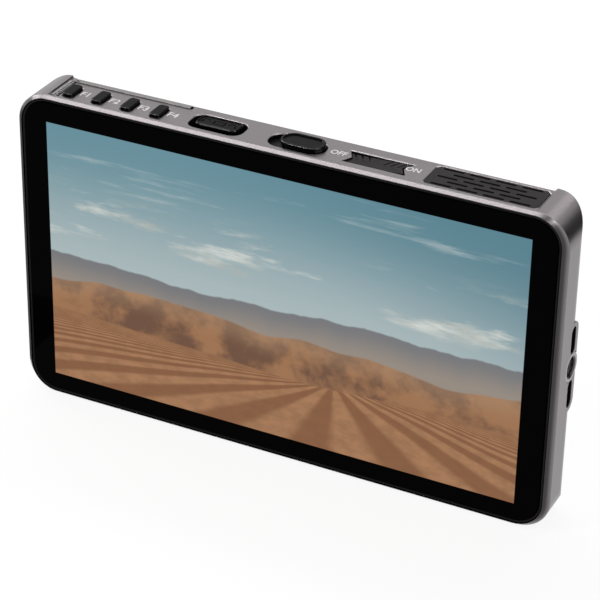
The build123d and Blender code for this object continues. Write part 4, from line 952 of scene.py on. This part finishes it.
sheet = bpy.data.meshes.new("floor")
half = FLOOR_SIDE / 2
sheet.from_pydata([(-half, -half, 0), (half, -half, 0), (half, half, 0), (-half, half, 0)], [],
                  [(0, 1, 2, 3)])
sheet.materials.append(pale_floor())
floor = bpy.data.objects.new("floor", sheet)
bpy.context.scene.collection.objects.link(floor)

world = bpy.data.worlds.new("studio")
bpy.context.scene.world = world
world.use_nodes = True
world_nodes = world.node_tree.nodes
world_links = world.node_tree.links
backdrop = world_nodes["Background"]
backdrop.inputs["Color"].default_value = (1.0, 1.0, 1.0, 1.0)
ray = world_nodes.new("ShaderNodeLightPath")
seen_rays = world_nodes.new("ShaderNodeMath")
seen_rays.operation = "ADD"
world_links.new(ray.outputs["Is Camera Ray"], seen_rays.inputs[0])
world_links.new(ray.outputs["Is Glossy Ray"], seen_rays.inputs[1])
all_rays = world_nodes.new("ShaderNodeMath")
all_rays.operation = "ADD"
all_rays.use_clamp = True
world_links.new(seen_rays.outputs[0], all_rays.inputs[0])
world_links.new(ray.outputs["Is Transmission Ray"], all_rays.inputs[1])
strength = world_nodes.new("ShaderNodeMapRange")
strength.inputs["To Min"].default_value = ROOM_LIGHT
strength.inputs["To Max"].default_value = 1.0
world_links.new(all_rays.outputs[0], strength.inputs["Value"])
world_links.new(strength.outputs["Result"], backdrop.inputs["Strength"])

# ---------------------------------------------------------------- softboxes
# Five soft lamps: a long one overhead that lights the key field, and smaller ones over the right
# corner, behind, at the left and in front. All are turned to the monitor's middle.
LAMPS_AIM = (0.0, 0.0, 0.044)


def softbox(name, place, wide, high, watts):
    lamp = bpy.data.lights.new(name, "AREA")
    lamp.shape = "RECTANGLE"
    lamp.size = wide
    lamp.size_y = high
    lamp.energy = watts
    box = bpy.data.objects.new(name, lamp)
    bpy.context.scene.collection.objects.link(box)
    back = (Vector(place) - Vector(LAMPS_AIM)).normalized()
    long_side = (Vector((1.0, 0.0, 0.0)) - back * back.x).normalized()
    turn = Matrix((long_side, back.cross(long_side), back)).transposed().to_4x4()
    box.matrix_world = Matrix.Translation(place) @ turn


softbox("overhead_box", (-0.22, 0.325, 0.74), wide=0.85, high=0.15, watts=4.2)
softbox("corner_box", (0.42, -0.06, 0.70), wide=0.16, high=0.16, watts=0.8)
softbox("back_box", (0.16, 0.80, 0.50), wide=0.25, high=0.1, watts=0.3)
softbox("left_box", (-0.70, 0.20, 0.46), wide=0.25, high=0.25, watts=1.7)
softbox("front_box", (-0.35, -0.42, 0.68), wide=0.10, high=0.10, watts=1.8)

# ---------------------------------------------------------------- cards
# Two studio cards that only the metal mirrors: a black one stands at the back right and darkens
# the right corner, and a grey one lies on the floor at the left and darkens the left rim.
CARD_LEFT = (0.17, 0.31)
CARD_RIGHT = (0.38, 0.17)
CARD_FOOT = 0.002
CARD_TOP = 0.19
MAT_LEFT = -0.40
MAT_RIGHT = -0.082
MAT_FRONT = -0.05
MAT_BACK = 0.35


def card(name, corners, shade):
    """A flat matt card that throws no shadow and is seen only in reflections."""
    mesh = bpy.data.meshes.new(name)
    mesh.from_pydata(corners, [], [(0, 1, 2, 3)])
    mesh.materials.append(Finish(name).surface(Base_Color=shade, Roughness=0.9,
                                               Specular_IOR_Level=0.0))
    board = bpy.data.objects.new(name, mesh)
    bpy.context.scene.collection.objects.link(board)
    board.visible_camera = False
    board.visible_shadow = False
    board.visible_diffuse = False


card("dark_card", [(*CARD_LEFT, CARD_FOOT), (*CARD_RIGHT, CARD_FOOT),
                   (*CARD_RIGHT, CARD_TOP), (*CARD_LEFT, CARD_TOP)], paint(8, 8, 8))
card("grey_mat", [(MAT_LEFT, MAT_FRONT, CARD_FOOT), (MAT_RIGHT, MAT_FRONT, CARD_FOOT),
                  (MAT_RIGHT, MAT_BACK, CARD_FOOT), (MAT_LEFT, MAT_BACK, CARD_FOOT)],
     paint(110, 107, 108))

# ---------------------------------------------------------------- camera
# A long lens, so that parallel edges stay nearly parallel. It stands at the front right and
# looks down on the screen and the key field.
CAMERA_PLACE = (0.24105, -0.492835, 0.358161)
CAMERA_RIGHT = (0.89511884, 0.44553154, 0.01624563)
CAMERA_UP = (-0.23501304, 0.44057319, 0.86640876)
LENS_MM = 149.37
SENSOR_MM = 36.0

lens = bpy.data.cameras.new("camera")
lens.lens = LENS_MM
lens.sensor_width = SENSOR_MM
lens.clip_start = 0.01
camera = bpy.data.objects.new("camera", lens)
bpy.context.scene.collection.objects.link(camera)
right, up = Vector(CAMERA_RIGHT), Vector(CAMERA_UP)
turn = Matrix((right, up, right.cross(up))).transposed().to_4x4()
camera.matrix_world = Matrix.Translation(CAMERA_PLACE) @ turn
bpy.context.scene.camera = camera
bpy.context.scene.view_settings.view_transform = "Standard"
